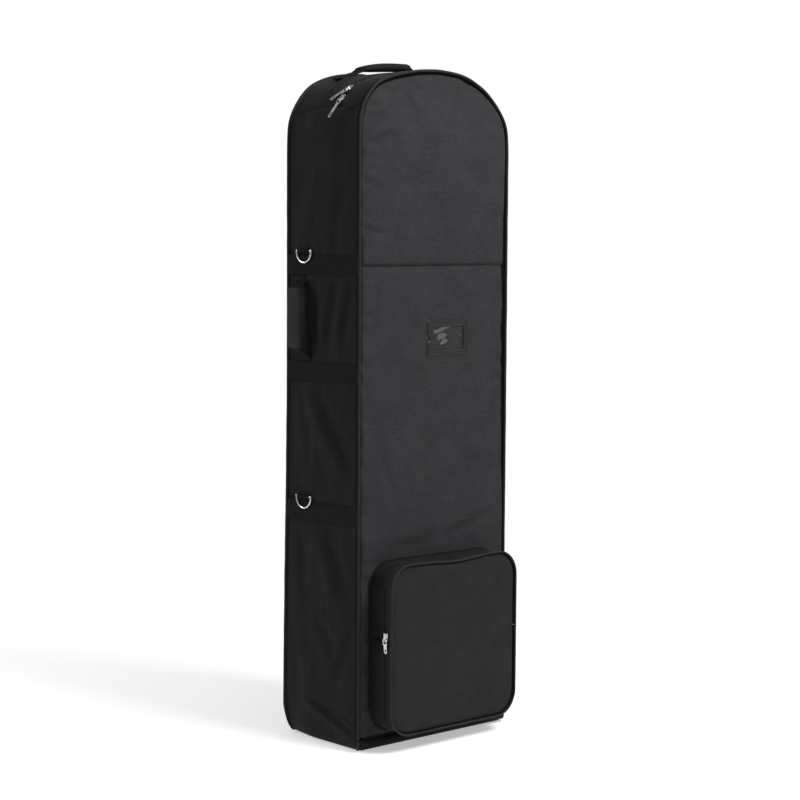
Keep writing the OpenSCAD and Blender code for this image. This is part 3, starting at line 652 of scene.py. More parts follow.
# fold lines of the front: start, end, width, depth
UPPER_FOLDS = (
    ((-0.182, 1.120), (-0.100, 1.150), 0.008, 0.0034),
    ((-0.176, 1.172), (-0.130, 1.184), 0.006, 0.0024),
    ((-0.183, 1.060), (-0.135, 1.046), 0.008, 0.0022),
    ((-0.183, 0.975), (-0.125, 0.960), 0.008, 0.0024),
    ((0.160, 1.190), (0.090, 1.165), 0.012, 0.0026),
    ((-0.090, 1.235), (-0.060, 1.190), 0.008, 0.0022),
)
LOWER_FOLDS = (
    ((0.066, SEAM - 0.002), (0.073, SEAM - 0.020), 0.0035, 0.0034),
    ((0.086, SEAM - 0.002), (0.091, SEAM - 0.017), 0.0030, 0.0030),
    ((0.103, SEAM - 0.002), (0.112, SEAM - 0.015), 0.0030, 0.0024),
    ((-0.058, SEAM - 0.002), (-0.061, SEAM - 0.014), 0.0030, 0.0020),
    ((0.03, SEAM - 0.02), (0.09, SEAM - 0.10), 0.014, 0.0016),
    ((-0.16, 0.62), (-0.08, 0.40), 0.012, 0.0016),
    ((0.15, 0.60), (0.09, 0.38), 0.012, 0.0016),
    ((0.030, 0.385), (0.168, 0.428), 0.010, 0.0036),
    ((-0.100, 0.372), (0.010, 0.392), 0.012, 0.0018),
    ((-0.17, 0.34), (-0.15, 0.08), 0.010, 0.0018),
    ((-0.160, 0.075), (-0.186, 0.028), 0.0045, 0.0034),
    ((-0.150, 0.052), (-0.180, 0.030), 0.0040, 0.0026),
)


def front_height(x, z, upper):
    """How far the front face stands in front of the CAD face."""
    e = edge_dist(x, z)
    seam = np.abs(z - SEAM)
    inside_edge = e - edge_inset(x)
    h = -roll_off(inside_edge, 0.005, 0.0036)
    round_edge = np.arctan2(z - SZ, x) * np.where(z > SZ, 0.1, 0) + np.where(z > SZ, 0, z)
    pucker = grid_noise(round_edge, x * 0, 0.016, 1, 3.3)
    rim = np.exp(-e / 0.022) * smooth(0.0, 0.010, inside_edge)
    h += 0.0072 * pucker * rim * np.where(x < 0, 1.2, 0.6)
    broad = grid_noise(x, z, 0.11, 0.16, 7.0)
    fine = grid_noise(x, z, 0.035, 0.05, 1.5)
    if upper:
        d = np.minimum(e, np.maximum(z - SEAM, 0) * 1.25)
        h += 0.0042 * (1 - np.exp(-d / 0.02)) + 0.0070 * smooth(0, 0.16, d)
        h -= 0.0022 * np.exp(-(seam / 0.0030) ** 2)
        h += 0.0050 * broad + 0.0018 * fine
        h += folds(x, z, UPPER_FOLDS)
    else:
        h += 0.0026 * (1 - np.exp(-e / 0.03)) * (1 - np.exp(-seam / 0.05))
        h -= 0.0036 * np.where(z > SEAM, 1, np.exp(-(seam / 0.0040) ** 2))
        below = np.exp(-seam / 0.028) * smooth(0.0, 0.006, seam)
        ripple = grid_noise(x, z, 0.013, 0.09, 5.1)
        h += below * 0.0046 * ripple * (0.35 + 0.65 * smooth(-0.05, 0.15, x))
        h += folds(x, z, LOWER_FOLDS)
        off_card = 1 - np.exp(-np.hypot((x - 0.032) / 0.09, (z - 0.767) / 0.07) ** 2)
        h += (0.0042 * broad + 0.0016 * fine) * off_card
        h -= roll_off(z - FLAP0, 0.012, 0.004)
    return h


def front_panels():
    """The two padded sections of the front; the lower one tucks under the upper one at the seam."""
    for name, upper, z0, z1, nz, node in (
        ("front_upper_skin", True, SEAM + 0.0002, None, 74, "front_panel_upper"),
        ("front_lower_skin", False, FLAP0, SEAM + 0.003, 152, "front_panel_lower"),
    ):
        x, z = panel_grid(z0, z1, 71, nz, arch=upper)
        h = front_height(x, z, upper)
        if upper:
            z = z + 0.0012 * grid_noise(x, 0 * x, 0.022, 1, 4.4) * np.exp(-(z - SEAM) / 0.006)
        o = sheet(name, soft(xyz(x, YF - h, z)), soft(xyz(x, YF + T, z)), [M["panel"], M["lining"]])
        done(o, "front_flap", "panel_fabric", node)


# ---------------------------------------------------------------- gussets

def foot_in(y, z):
    """How far the left side has turned in under the case at a point near the floor."""
    r = 0.013 + 0.011 * smooth(0.02, YB, y)
    low = np.clip(1 - z / r, 0, 1)
    return r * (1 - np.sqrt(1 - low ** 2))


LIP_FRONT, LIP_BACK = 0.0048, 0.0016  # room left for the cords at the front and back edges


def gusset(name, s0, s1, y0, y1, ns, ny, height, mats, lip0=False, lip1=False, foot=False):
    """Strip of the side wall between two distances along the arch and two depths.

    height gives its rise over the CAD face. lip0 and lip1 leave room for a cord at the front or back edge.
    foot turns it in under the case near the floor.
    """
    s = np.linspace(s0, s1, ns)[:, None] * np.ones((1, ny))
    a, b = (YF + LIP_FRONT if lip0 else y0), (YB - LIP_BACK if lip1 else y1)
    k = np.linspace(0, 1, ny)
    k = 0.5 - 0.5 * np.cos(PI * k) if ny > 8 else k
    k = 0.4 * k + 0.6 * np.linspace(0, 1, ny)
    y = (a + (b - a) * k)[None, :] * np.ones((ns, 1))
    x, z, nx, nz = prof(s)
    h = height(s, y, x, z)
    front_lip = lip0 & (y < YF + T + 0.0004)
    back_lip = lip1 & (y > YB - T - 0.0004)
    lip = front_lip | back_lip
    rise = 0.0015 * np.where(y < 0, 1 - smooth(YF + T, YF + T + 0.012, y) if lip0 else 0,
                             smooth(YB - T - 0.012, YB - T, y) if lip1 else 0)
    e = np.where(y < 0, y - YF, YB - y)
    e = e - np.where(y < 0, LIP_FRONT, LIP_BACK)
    h = np.where(lip, 0.0015 - 0.0018 * np.clip(1 - e / 0.003, 0, 1), np.maximum(h, rise))
    under = np.where(lip, -0.0002, T)
    if foot:
        h = h * smooth(0, 0.03, z) - foot_in(y, z)
    outer = soft(xyz(x + nx * h, y, z + nz * h))
    inner = soft(xyz(x - nx * np.maximum(under, 0.0016 - h if foot else under), y, z - nz * under))
    return sheet(name, outer, inner, mats)


SIDE_FOLDS = (
    ((0.012, 0.675), (-0.088, 0.530), 0.016, 0.0030),
    ((0.055, 0.660), (0.030, 0.560), 0.014, 0.0014),
    ((-0.020, 0.415), (-0.075, 0.290), 0.016, 0.0026),
    ((0.060, 0.410), (0.045, 0.270), 0.014, 0.0016),
    ((-0.045, 0.880), (-0.015, 0.735), 0.011, 0.0026),
    ((0.010, 0.875), (0.020, 0.760), 0.010, 0.0016),
    ((-0.085, 0.865), (-0.060, 0.760), 0.009, 0.0016),
    ((-0.030, 0.930), (-0.070, 1.060), 0.014, 0.0016),
    ((0.030, 0.085), (-0.098, 0.034), 0.0065, 0.0034),
    ((-0.035, 0.070), (-0.100, 0.052), 0.0050, 0.0020),
    ((-0.096, 0.230), (-0.040, 0.110), 0.011, 0.0022),
    ((0.085, 0.210), (0.050, 0.060), 0.014, 0.0009),
    ((0.000, 0.240), (-0.050, 0.170), 0.013, 0.0014),
)


def left_height(s, y, x, z):
    """Height of the left side over the CAD face: swells between the straps and folds."""
    yc, half = (YF + YB) / 2, (YB - YF) / 2
    v = np.clip(1 - np.abs((y - yc) / half) ** 2.6, 0, 1)
    swell = np.zeros_like(s)
    marks = [-0.02] + sorted(STRAPS) + [S_END]
    for a, b, q in zip(marks[:-1], marks[1:], [0.0058, 0.0060, 0.0050, 0.0058]):
        t = np.clip((s - a) / (b - a), 0, 1)
        swell += np.where((s >= a) & (s < b), q * np.clip(np.sin(PI * t), 0, 1) ** 0.55, 0)
    h = swell * v
    for zs in STRAPS:
        h *= 1 - np.exp(-((s - zs) / (WEB * 0.62)) ** 4)
    for i, zs in enumerate(STRAPS):
        for sign in (-1, 1):
            d = sign * (s - zs) - WEB / 2
            near = smooth(-0.002, 0.006, d) * np.exp(-np.clip(d, 0, 1) / 0.035)
            h += near * 0.0026 * grid_noise(y, s, 0.020, 0.10, 2.0 + i + 0.5 * sign) * v
    h += 0.0042 * grid_noise(y + 0.4 * s, s, 0.050, 0.13, 9.0) * v
    h += 0.0060 * grid_noise(y, s - 0.5 * y, 0.09, 0.10, 4.0) * v
    h += 0.0012 * grid_noise(y, s, 0.018, 0.045, 5.5) * v
    h += folds(y, s, SIDE_FOLDS, 1.9)
    h -= 0.0003 * np.exp(-((s - S_END) / 0.003) ** 2)
    return np.where(np.abs(z - np.array(STRAPS)[:, None, None]).min(0) < WEB / 2 + 0.001,
                    np.minimum(h, -0.0001), h)


S_MID = (S_END + S_TOP) / 2
CROWN_FOLDS = (
    ((S_END + 0.035, ZY1 + 0.025), (S_END + 0.11, ZY1 + 0.05), 0.006, 0.0052),
    ((S_END + 0.06, ZY1 + 0.06), (S_END + 0.14, ZY1 + 0.09), 0.007, 0.0044),
    ((S_MID - 0.085, 0.092), (S_MID - 0.010, 0.095), 0.009, -0.0040),
)


def crown_height(front):
    """Height of the crown's front or rear strip over the CAD face."""
    def f(s, y, x, z):
        a, b = (YF, ZY0) if front else (ZY1, YB)
        t = np.clip((y - a) / (b - a), 0, 1)
        v = np.clip(np.sin(PI * t), 0, 1) ** 0.5
        h = 0.0034 * v + 0.0011 * grid_noise(s, y, 0.035, 0.05, 6.0) * v
        zipside = np.abs(y - (ZY0 if front else ZY1))
        h += 0.0011 * np.exp(-((zipside - 0.0022) / 0.0016) ** 2)
        h += 0.0008 * grid_noise(s, y, 0.012, 0.2, 8.0) * np.exp(-zipside / 0.012)
        h -= 0.0003 * np.exp(-((s - S_END) / 0.003) ** 2)
        if not front:
            h += folds(s, y, CROWN_FOLDS)
        h *= smooth(0, 0.01, np.abs(S_TOP - s) + 0.006)
        if not front:
            h *= 1 - 0.8 * np.exp(-(x / 0.080) ** 6) * np.exp(-((y - 0.04) / 0.045) ** 4)
        return h
    return f


def left_skin():
    """The whole left side, which turns in under the case at its foot."""
    o = gusset("left_side_skin", 0.0012, S_END - 0.0004, YF, YB, 260, 46, left_height,
               [M["side"], M["lining"]], True, True, True)
    done(o, "case", "gusset_fabric", "left_gusset")


def crown_skins():
    """Both strips of the crown; the front one's left end is a piece of its own."""
    mats = [M["crown"], M["lining"]]
    s_cut = S_END + R1 * math.radians(40)
    front, rear = crown_height(True), crown_height(False)

    def tucked(s, y, x, z):
        return front(s, y, x, z) - 0.0006 * (1 - smooth(s_cut - 0.002, s_cut + 0.012, s))

    def under_side(over):
        return lambda s, y, x, z: over(s, y, x, z) - 0.0010 * (1 - smooth(S_END - 0.001, S_END + 0.012, s))

    o = gusset("crown_front_skin", s_cut - 0.004, S_TOP - 0.0001, YF, ZY0, 60, 16, tucked, mats, True)
    done(o, "front_flap", "gusset_fabric", "crown_gusset_front")
    o = gusset("shoulder_front_skin", S_END - 0.003, s_cut, YF, ZY0, 24, 16, under_side(front), mats, True)
    (x0, z0), (x1, z1) = ([float(v) for v in prof(s)[:2]] for s in (S_END, s_cut))
    bends(o, "gusset_fabric", ("case", "front_flap"), (x0, ZY0, z0), (x1, ZY0, z1))
    o = gusset("crown_rear_skin", S_END - 0.003, S_TOP - 0.0001, ZY1, YB, 92, 32, under_side(rear), mats,
               False, True)
    done(o, "case", "gusset_fabric", "crown_gusset_rear")


def right_height(front):
    """Height of the right side's front or rear strip over the CAD face."""
    def f(s, y, x, z):
        a, b = (YF, ZY0) if front else (ZY1, YB)
        t = np.clip((y - a) / (b - a), 0, 1)
        v = np.clip(np.sin(PI * t), 0, 1) ** 0.5
        up = np.sin(PI * np.clip((s - S_TOP) / SZ, 0, 1)) ** 0.4
        zipside = np.abs(y - (ZY0 if front else ZY1))
        h = (0.003 if front else 0.0045) * v * up + 0.0014 * grid_noise(y, s, 0.03, 0.2, 11.0) * v
        h += 0.0010 * np.exp(-((zipside - 0.0022) / 0.0016) ** 2)
        h += 0.0006 * grid_noise(s, y, 0.012, 0.2, 12.0) * np.exp(-zipside / 0.012)
        h -= 0.0010 * (1 - smooth(S_TOP - 0.001, S_TOP + 0.012, s))
        if not front:
            h -= 0.0018 * smooth(LT - BOOT - 0.008, LT - BOOT - 0.001, s)
        return h
    return f


def right_skins():
    """Both strips of the right side."""
    mats = [M["side"], M["lining"]]
    o = gusset("right_front_skin", S_TOP - 0.003, LT - FLAP0, YF, ZY0, 120, 14, right_height(True), mats,
               True)
    done(o, "front_flap", "gusset_fabric", "right_gusset_front")
    o = gusset("right_rear_skin", S_TOP - 0.003, LT - BOOT + 0.002, ZY1, YB, 120, 24, right_height(False),
               mats, False, True)
    done(o, "case", "gusset_fabric", "right_gusset_rear")


def hinge_lining():
    """Strip of lining sewn across the flap's hinge, inside the left front corner."""
    x, y = -HW + T + 0.0003, YF + T + 0.0003
    path = curve([(x, y + 0.020), (x, y + 0.010), (x + 0.0003, y + 0.004), (x + 0.0016, y + 0.0016),
                  (x + 0.004, y + 0.0003), (x + 0.010, y), (x + 0.020, y)], 2)
    z = np.linspace(FLAP0 + 0.003, S_END - 0.006, 40)
    flat = xyz(path[:, 0], path[:, 1], z[:, None])
    o = sheet("hinge_lining", flat, flat + np.array([0.0006, 0.0006, 0]), [M["lining"]], 0)
    bends(o, "gusset_fabric", ("case", "front_flap"), (x, y + 0.014, 0.6), (x + 0.014, y, 0.6))


FLANGE = 0.0116  # both side flanges of a wheel housing together


def cut_box(o, size, centre):
    """Cuts a box-shaped opening for a wheel housing."""
    bm = bmesh.new()
    bmesh.ops.create_cube(bm, size=1.0)
    box = bpy.data.meshes.new("cut")
    bm.to_mesh(box)
    bm.free()
    c = bpy.data.objects.new("cut", box)
    bpy.context.scene.collection.objects.link(c)
    c.scale, c.location = size, centre
    m = o.modifiers.new("cut", "BOOLEAN")
    m.operation, m.object, m.solver = "DIFFERENCE", c, "EXACT"
    freeze(o)
    bpy.data.objects.remove(c)


def back_skin():
    """Back panel, flat round the wheel housings and cut out for them."""
    x, z = panel_grid(BOOT + 0.0002, None, 61, 170, 0.0002, arch=True)
    e = edge_dist(x, z)
    h = -roll_off(e) + 0.0022 * (1 - np.exp(-e / 0.03)) + 0.0012 * grid_noise(x, z, 0.1, 0.2, 13.0)
    h += 0.0012 * grid_noise(x, z, 0.016, 1, 14.0) * np.exp(-e / 0.014)
    keep = np.ones_like(x)
    for n in HOUSINGS:
        a, b = lo(n), hi(n)
        dx = np.maximum(np.maximum(a[0] - x, x - b[0]), 0)
        dz = np.maximum(z - b[2], 0)
        keep = np.minimum(keep, smooth(0.004, 0.03, np.hypot(dx, dz)))
    h = np.where(h > 0, h * keep, h)
    o = sheet("back_skin", soft(xyz(x, YB + h, z)), soft(xyz(x, YB - T, z)), [M["back"], M["lining"]], 0)
    for n in HOUSINGS:
        a, b = lo(n), hi(n)
        cut_box(o, (b[0] - a[0] - FLANGE, 0.08, 0.1364), ((a[0] + b[0]) / 2, YB, 0))
    done(o, "case", "gusset_fabric", "back_panel")


# ---------------------------------------------------------------- boot

# the boot's section from its flat underside to its top edge: distance inside the outline, height
BOOT_SECTION = ((0.030, 0), (0.012, 0.0), (0.0052, 0.0008), (0.0014, 0.0036), (-0.0006, 0.0072),
                (-0.0022, 0.0114), (-0.0026, 0.0146), (-0.0012, 0.0180), (0.0012, 0.0204),
                (0.0030, 0.0217))


def boot():
    """Soft roll of fabric round the bottom, flat underneath."""
    count = 160
    hw, hd = HW, (YB - YF) / 2
    corners = [(-hw, -hd), (hw, -hd), (hw, hd), (-hw, hd)]
    normals = [(0, -1), (1, 0), (0, 1), (-1, 0)]
    outline = []
    for i in range(count):
        d = 4 * (hw + hd) * i / count
        for k in range(4):
            p, q = np.array(corners[k]), np.array(corners[(k + 1) % 4])
            n = np.hypot(*(q - p))
            if d <= n:
                outline.append(((p + (q - p) * d / n), k, d / n))
                break
            d -= n
    rows = []
    for t, z in BOOT_SECTION:
        z *= BOOT / 0.022
        ring = []
        for p, k, f in outline:
            n = np.array(normals[k])
            corner = 1 - smooth(0, 0.05, min(f, 1 - f))
            wob = noise.noise(Vector((p[0] * 22, p[1] * 22, z * 60))) * 0.0013 * (z > 0)
            bulge = 0.0034 * (k == 0) * smooth(0.0, 0.2, f) * (t < 0) * (0.6 + 0.6 * f)
            bulge += 0.0040 * (k == 0) * smooth(0.72, 0.95, f) * (t < 0)
            bulge += 0.0150 * (k == 1) * (1 - smooth(0.0, 0.30, f)) * (t < 0)
            off = -t + wob * (1 - corner) + bulge - 0.0045 * (k == 3)
            ring.append((p[0] + n[0] * off, p[1] + n[1] * off, z))
        rows.append(ring)
    rows = np.array(rows)
    rows[:, :, 0] = np.maximum(rows[:, :, 0], -hw + 0.0045 + foot_in(rows[:, :, 1], rows[:, :, 2]))
    for row, (t, _) in zip(rows, BOOT_SECTION):
        if t > 0:
            row[:, 0] = np.clip(row[:, 0], -hw + t, hw - t)
            row[:, 1] = np.clip(row[:, 1], -hd + t, hd - t)
    inner = rows[::-1].copy()
    inner[:, :, 2] = np.clip(inner[:, :, 2], 0.0034, None)
    left = -hw + 0.008 + foot_in(inner[:, :, 1], inner[:, :, 2])
    inner[:, :, 0] = np.clip(inner[:, :, 0], left, hw - 0.0034)
    inner[:, :, 1] = np.clip(inner[:, :, 1], -hd + 0.0034, hd - 0.0034)
    nv = len(rows)
    base = count * nv
    starts = [i * nv for i in range(count)]
    faces = [tuple(f) for f in quads(count, nv, 0, True)]
    faces.append(tuple(starts))
    faces += [tuple(f) for f in quads(count, nv, base, True)]
    for a, b in zip(starts, starts[1:] + starts[:1]):
        faces.append((a + nv - 1, b + nv - 1, base + b, base + a))
    faces.append(tuple(base + i + nv - 1 for i in starts))
    verts = [g.transpose(1, 0, 2).reshape(-1, 3) for g in (rows, inner)]
    o = build("boot_skin", np.concatenate(verts), faces, [M["side"]])
    for n in HOUSINGS:
        a, b = lo(n), hi(n)
        cut_box(o, (b[0] - a[0] - FLANGE, 0.12, 0.2), ((a[0] + b[0]) / 2, a[1] + 0.0596, 0.05))
    done(o, "case", "gusset_fabric", "base_boot")


# ---------------------------------------------------------------- cords

def arch_line(off, y, s0, s1, n):
    """Line round the arch, off it by off, with its outward directions."""
    s = np.linspace(s0, s1, n)
    x, z, nx, nz = prof(s)
    return soft(xyz(x + nx * off, y, z + nz * off)), xyz(nx, 0, nz)


def welt(name, pts, out, front, r=PIPE, reach=0.0085, dark=True):
    """Cord with the seam allowance that holds it; with dark, the allowance is near-black, painted shade for
    the groove beside the cord.

    out and front are the two ways that it stands off the corner.
    """
    ang = np.radians(np.linspace(-110, 200, 15))
    near, deep = 0.45 * reach, 0.53 * reach
    a = np.r_[r * np.cos(ang), -near, -reach, -reach, -deep, -deep, -near]
    b = np.r_[r * np.sin(ang), -near, -deep, -0.7 * reach, -reach, -reach, -near]
    out, front = np.broadcast_to(out, pts.shape), np.broadcast_to(front, pts.shape)
    rings = pts[:, None] + a[None, :, None] * out[:, None] + b[None, :, None] * front[:, None]
    o = loft(name, rings, [M["cord"], M["painted_shade" if dark else "cord"]])
    # the allowance faces take the near-black painted shade when dark is set
    allowance = np.tile((np.arange(len(a)) >= len(ang) - 1).astype(int), len(pts) - 1)
    o.data.polygons.foreach_set("material_index", np.r_[allowance, 0, 0])
    return o


def cords():
    """Cords round the front and the back, and down the four corners of the boot."""
    off = PX - HW
    for name, sign, s0, body, node, reach, thin in (
        ("front_cord", -1, FLAP0, "front_flap", "front_piping", 0.0085, 0.82),
        ("rear_cord", 1, BOOT + 0.0002, "case", "rear_piping", 0.0065, 1.0),
    ):
        s = np.linspace(s0, LT - s0, 560)
        x, z, nx, nz = prof(s)
        wob = noise3(s * 28, 0.3, sign * 2.0) * 0.0005
        pts = xyz(x + nx * (off + wob), sign * PY, z + nz * (off + wob))
        pts[:, 0] += foot_in(pts[:, 1], z) * (x < 0)
        # the front cord's allowance is near-black painted shade for its groove; the rear cord's stays cord
        # fabric
        o = welt(name, soft(pts), xyz(nx, 0, nz), (0, sign, 0), PIPE * thin, reach, sign < 0)
        done(o, body, "piping", node)
    parts = []
    for sx in (-1, 1):
        for sy in (-1, 1):
            z = np.linspace(0.003, BOOT, 14)
            k = 1 - smooth(0.0, 0.016, z)
            turn = foot_in(np.full_like(z, sy * PY), z) if sx < 0 else 0.006 * k
            pts = soft(xyz(sx * (PX - turn), sy * (PY - 0.006 * k), z))
            # the front boot cords' allowance is painted groove shade as well
            parts.append(welt("boot_cord", pts, (sx, 0, 0), (0, sy, 0), PIPE * 0.85, dark=sy < 0))
    done(join_all(parts, "boot_cords"), "case", "piping", "boot_piping")


def join_all(objs, name):
    """Makes one object of several."""
    bpy.ops.object.select_all(action="DESELECT")
    for o in objs:
        o.select_set(True)
    bpy.context.view_layer.objects.active = objs[0]
    bpy.ops.object.join()
    objs[0].name = name
    objs[0].data.name = name
    return objs[0]


# ---------------------------------------------------------------- main zip

def strip(name, pts, out, across, width, thick):
    """Thin tape: across is the direction of its width."""
    out, across = (np.broadcast_to(np.array(v, float), pts.shape) for v in (out, across))
    row = pts[:, None] + np.linspace(-0.5, 0.5, 4)[None, :, None] * width * across[:, None]
    lift = out[:, None] * thick / 2
    return sheet(name, row + lift, row - lift, [M["tape"]], level=0)


ZIP_GAP = 0.0003


def main_zip():
    """Both halves: over the crown and down the right side, then along the bottom crease."""
    w = (ZY1 - ZY0) / 2 - ZIP_GAP - 0.0001
    for side, name, body, node, z_end in (
        (-1, "flap", "front_flap", "flap_zip_tape", BOOT + 0.0016),
        (1, "shell", "case", "shell_zip_tape", BOOT + 0.0003),
    ):
        y = ZY + side * (ZIP_GAP / 2 + w / 2)
        pts, out = arch_line(-0.0017, y, S_END + R1 * math.radians(2), LT - z_end, 420)
        done(strip(f"{name}_tape", pts, out, (0, 1, 0), w, 0.0012), body, "zip_tape", node)
        y = ZY + side * 0.00115
        pts, out = arch_line(-0.0006, y, S_END + R1 * math.radians(2.5), LT - z_end - 0.002, 520)
        done(teeth(f"{name}_teeth", pts, out, 0.0030, (0.0021, 0.0021, 0.0010)), body, "zip_tape")
        foot = xyz(np.linspace(HW - 0.0017, -HW + T + 0.004, 120), YF + 0.0018, z_end + 0.0006)
        done(strip(f"{name}_foot_tape", foot, (0, -1, 0), (0, 0, 1), 0.0012, 0.0013), body, "zip_tape")
        foot = foot + [0, -0.0010, 0]
        o = teeth(f"{name}_foot_teeth", foot, (0, -1, 0), 0.0030, (0.0021, 0.0011, 0.0008))
        done(o, body, "zip_tape")
        y = ZY0 - 0.0034 if side < 0 else ZY1 + 0.0034
        s = S_END + 0.006 if side > 0 else S_END + R1 * math.radians(41)
        line = arch_line(0.0016, y, s, LT - FLAP0 - 0.004, 700)
        done(stitches(f"{name}_zip_stitch", [line], [M["thread"]]), body, "gusset_fabric")
    pts, out = arch_line(0.0014, ZY, S_END - 0.003, S_END + 0.015, 8)
    done(band("zip_end_tab", pts, out, 0.018, 0.0014, [M["web_side"]], 3), "case", "webbing")


# ---------------------------------------------------------------- straps and rings

def straps():
    """Three straps sewn flat across the left side."""
    rows = []
    for node, z in zip(("strap_upper", "strap_middle", "strap_lower"), STRAPS):
        a, b = lo(node), hi(node)
        thick = b[0] - a[0]
        y = np.linspace(YF + 0.0022, YB - 0.0022, 60)
        ends = np.minimum(y - y[0], y[-1] - y)
        x = (a[0] + b[0]) / 2 - 0.0002 + 0.0006 * np.exp(-ends / 0.006)
        sag = 0.0012 * np.sin(PI * (y - y[0]) / (y[-1] - y[0]))
        pts = xyz(x, y, z - sag + 0.0008 * noise3(y * 25, z, 0))
        o = band(f"{node}_web", pts, (-1, 0, 0), WEB, thick, [M["web_side"]], 6, 0.0005, z * 7)
        done(o, "case", "webbing", node)
        for k in (-1, 1):
            line = pts[2:-2] + np.array([-thick / 2 - 0.0001, 0, k * (WEB / 2 - 0.0035)])
            rows.append((line, (-1, 0, 0)))
    done(stitches("strap_stitches", rows, [M["thread"]]), "case", "webbing")


def ring_tabs():
    """Webbing loops that hold the rings: up the side and round the ring's bar."""
    for n in ("upper", "lower"):
        node, ring = f"ring_tab_{n}", f"d_ring_{n}"
        a, b, y = lo(node), hi(node), mid(node)[1]
        bar_x, bar_z = mid(ring)[0], hi(ring)[2] - 0.0021
        turn = 0.0033
        foot = a[2] + 0.0002
        up = [(-HW - 0.0011, y, foot + t * (bar_z - 0.004 - foot)) for t in np.linspace(0, 1, 6)]
        q = np.radians(np.linspace(-30, 215, 16))
        pts = np.concatenate([up, xyz(bar_x + turn * np.cos(q), y, bar_z + turn * np.sin(q))])
        out = unit(np.cross(np.gradient(pts, axis=0), (0, 1, 0)))
        done(band(f"{node}_web", pts, out, b[1] - a[1], 0.0013, [M["web_up"]]), "case", "webbing", node)


# ---------------------------------------------------------------- handles

def puff(o, voxel=0.003, pressure=3.0, cap=0.0016, steps=20):
    """Swells a closed padded form with cloth pressure, then keeps the result."""
    m = o.modifiers.new("even", "REMESH")
    m.mode, m.voxel_size = "VOXEL", voxel
    freeze(o)
    start = np.array([v.co for v in o.data.vertices])
    c = o.modifiers.new("cloth", "CLOTH")
    c.settings.use_pressure = True
    c.settings.uniform_pressure_force = pressure
    c.settings.effector_weights.gravity = 0
    c.settings.quality = 5
    c.settings.tension_stiffness = c.settings.compression_stiffness = 12
    c.point_cache.frame_start, c.point_cache.frame_end = 1, steps
    scene = bpy.context.scene
    for f in range(1, steps + 1):
        scene.frame_set(f)
    ev = o.evaluated_get(bpy.context.evaluated_depsgraph_get())
    move = np.array([v.co for v in ev.data.vertices]) - start
    o.modifiers.remove(c)
    scene.frame_set(1)
    size = np.linalg.norm(move, axis=1)
    move *= (cap * np.tanh(size / cap) / np.maximum(size, 1e-9))[:, None]
    o.data.vertices.foreach_set("co", (start + move).ravel())
    o.data.polygons.foreach_set("use_smooth", [True] * len(o.data.polygons))
    o.data.update()
    subdivide(o)


def curve(points, rounds=4):
    """Smooth line through the neighbourhood of a few points, ends kept."""
    p = np.array(points, float)
    for _ in range(rounds):
        q, r = 0.75 * p[:-1] + 0.25 * p[1:], 0.25 * p[:-1] + 0.75 * p[1:]
        p = np.concatenate([p[:1], np.stack([q, r], 1).reshape(-1, p.shape[1])[1:-1], p[-1:]])
    return p


def snap(o, pts, out, lift=0.0002):
    """Moves points onto an object's finished surface, looking back along out."""
    tree = BVHTree.FromObject(o, bpy.context.evaluated_depsgraph_get())
    out = np.array(out, float)
    res = []
    for p in np.array(pts, float):
        hit = tree.ray_cast(Vector(p + out * 0.03), Vector(-out), 0.06)[0]
        if hit is not None:
            res.append(np.array(hit) + out * lift)
    return np.array(res)


def grip(name, node, line, out, width, thick, mat, body):
    """Padded sleeve along a line; width and thick are given at each of its points."""
    t = unit(np.gradient(line, axis=0))
    side, out = np.array((0, 1, 0), float), np.array(out, float)
    nrm = np.cross(t, side)
    nrm *= np.sign(nrm @ out)[:, None]
    q = np.arange(28) * 2 * PI / 28
    cs, sn = np.cos(q), np.sin(q)
    cs, sn = np.sign(cs) * np.abs(cs) ** 0.5, np.sign(sn) * np.abs(sn) ** 0.72
    rings = []
    for c, n, w, d in zip(line, nrm, width, thick):
        rings.append(c + cs[:, None] * side * w / 2 + sn[:, None] * n * d / 2)
    o = loft(name, rings, [M[mat]])
    puff(o)
    done(o, body, "grip_pad", node)
    rows = []
    across = np.linspace(-0.38, 0.38, 14)[:, None] * side * width[len(width) // 2]
    for k, i in ((-1, 0), (1, -1)):
        rows.append((snap(o, line[2:-2] + side * k * width[2:-2, None] * 0.34, out), out))
        end = line[1 if k < 0 else -2] - t[i] * k * 0.004
        rows.append((snap(o, end + across, out), out))
    # the side grip's stitches use the grey thread, partly as a painted highlight along its edges
    o = stitches(f"{name}_stitches", rows, [M["grey_thread_and_highlight" if mat == "grip" else "thread"]], 0.0038,
                 (0.0027, 0.0009, 0.0006))
    done(o, body, "grip_pad")


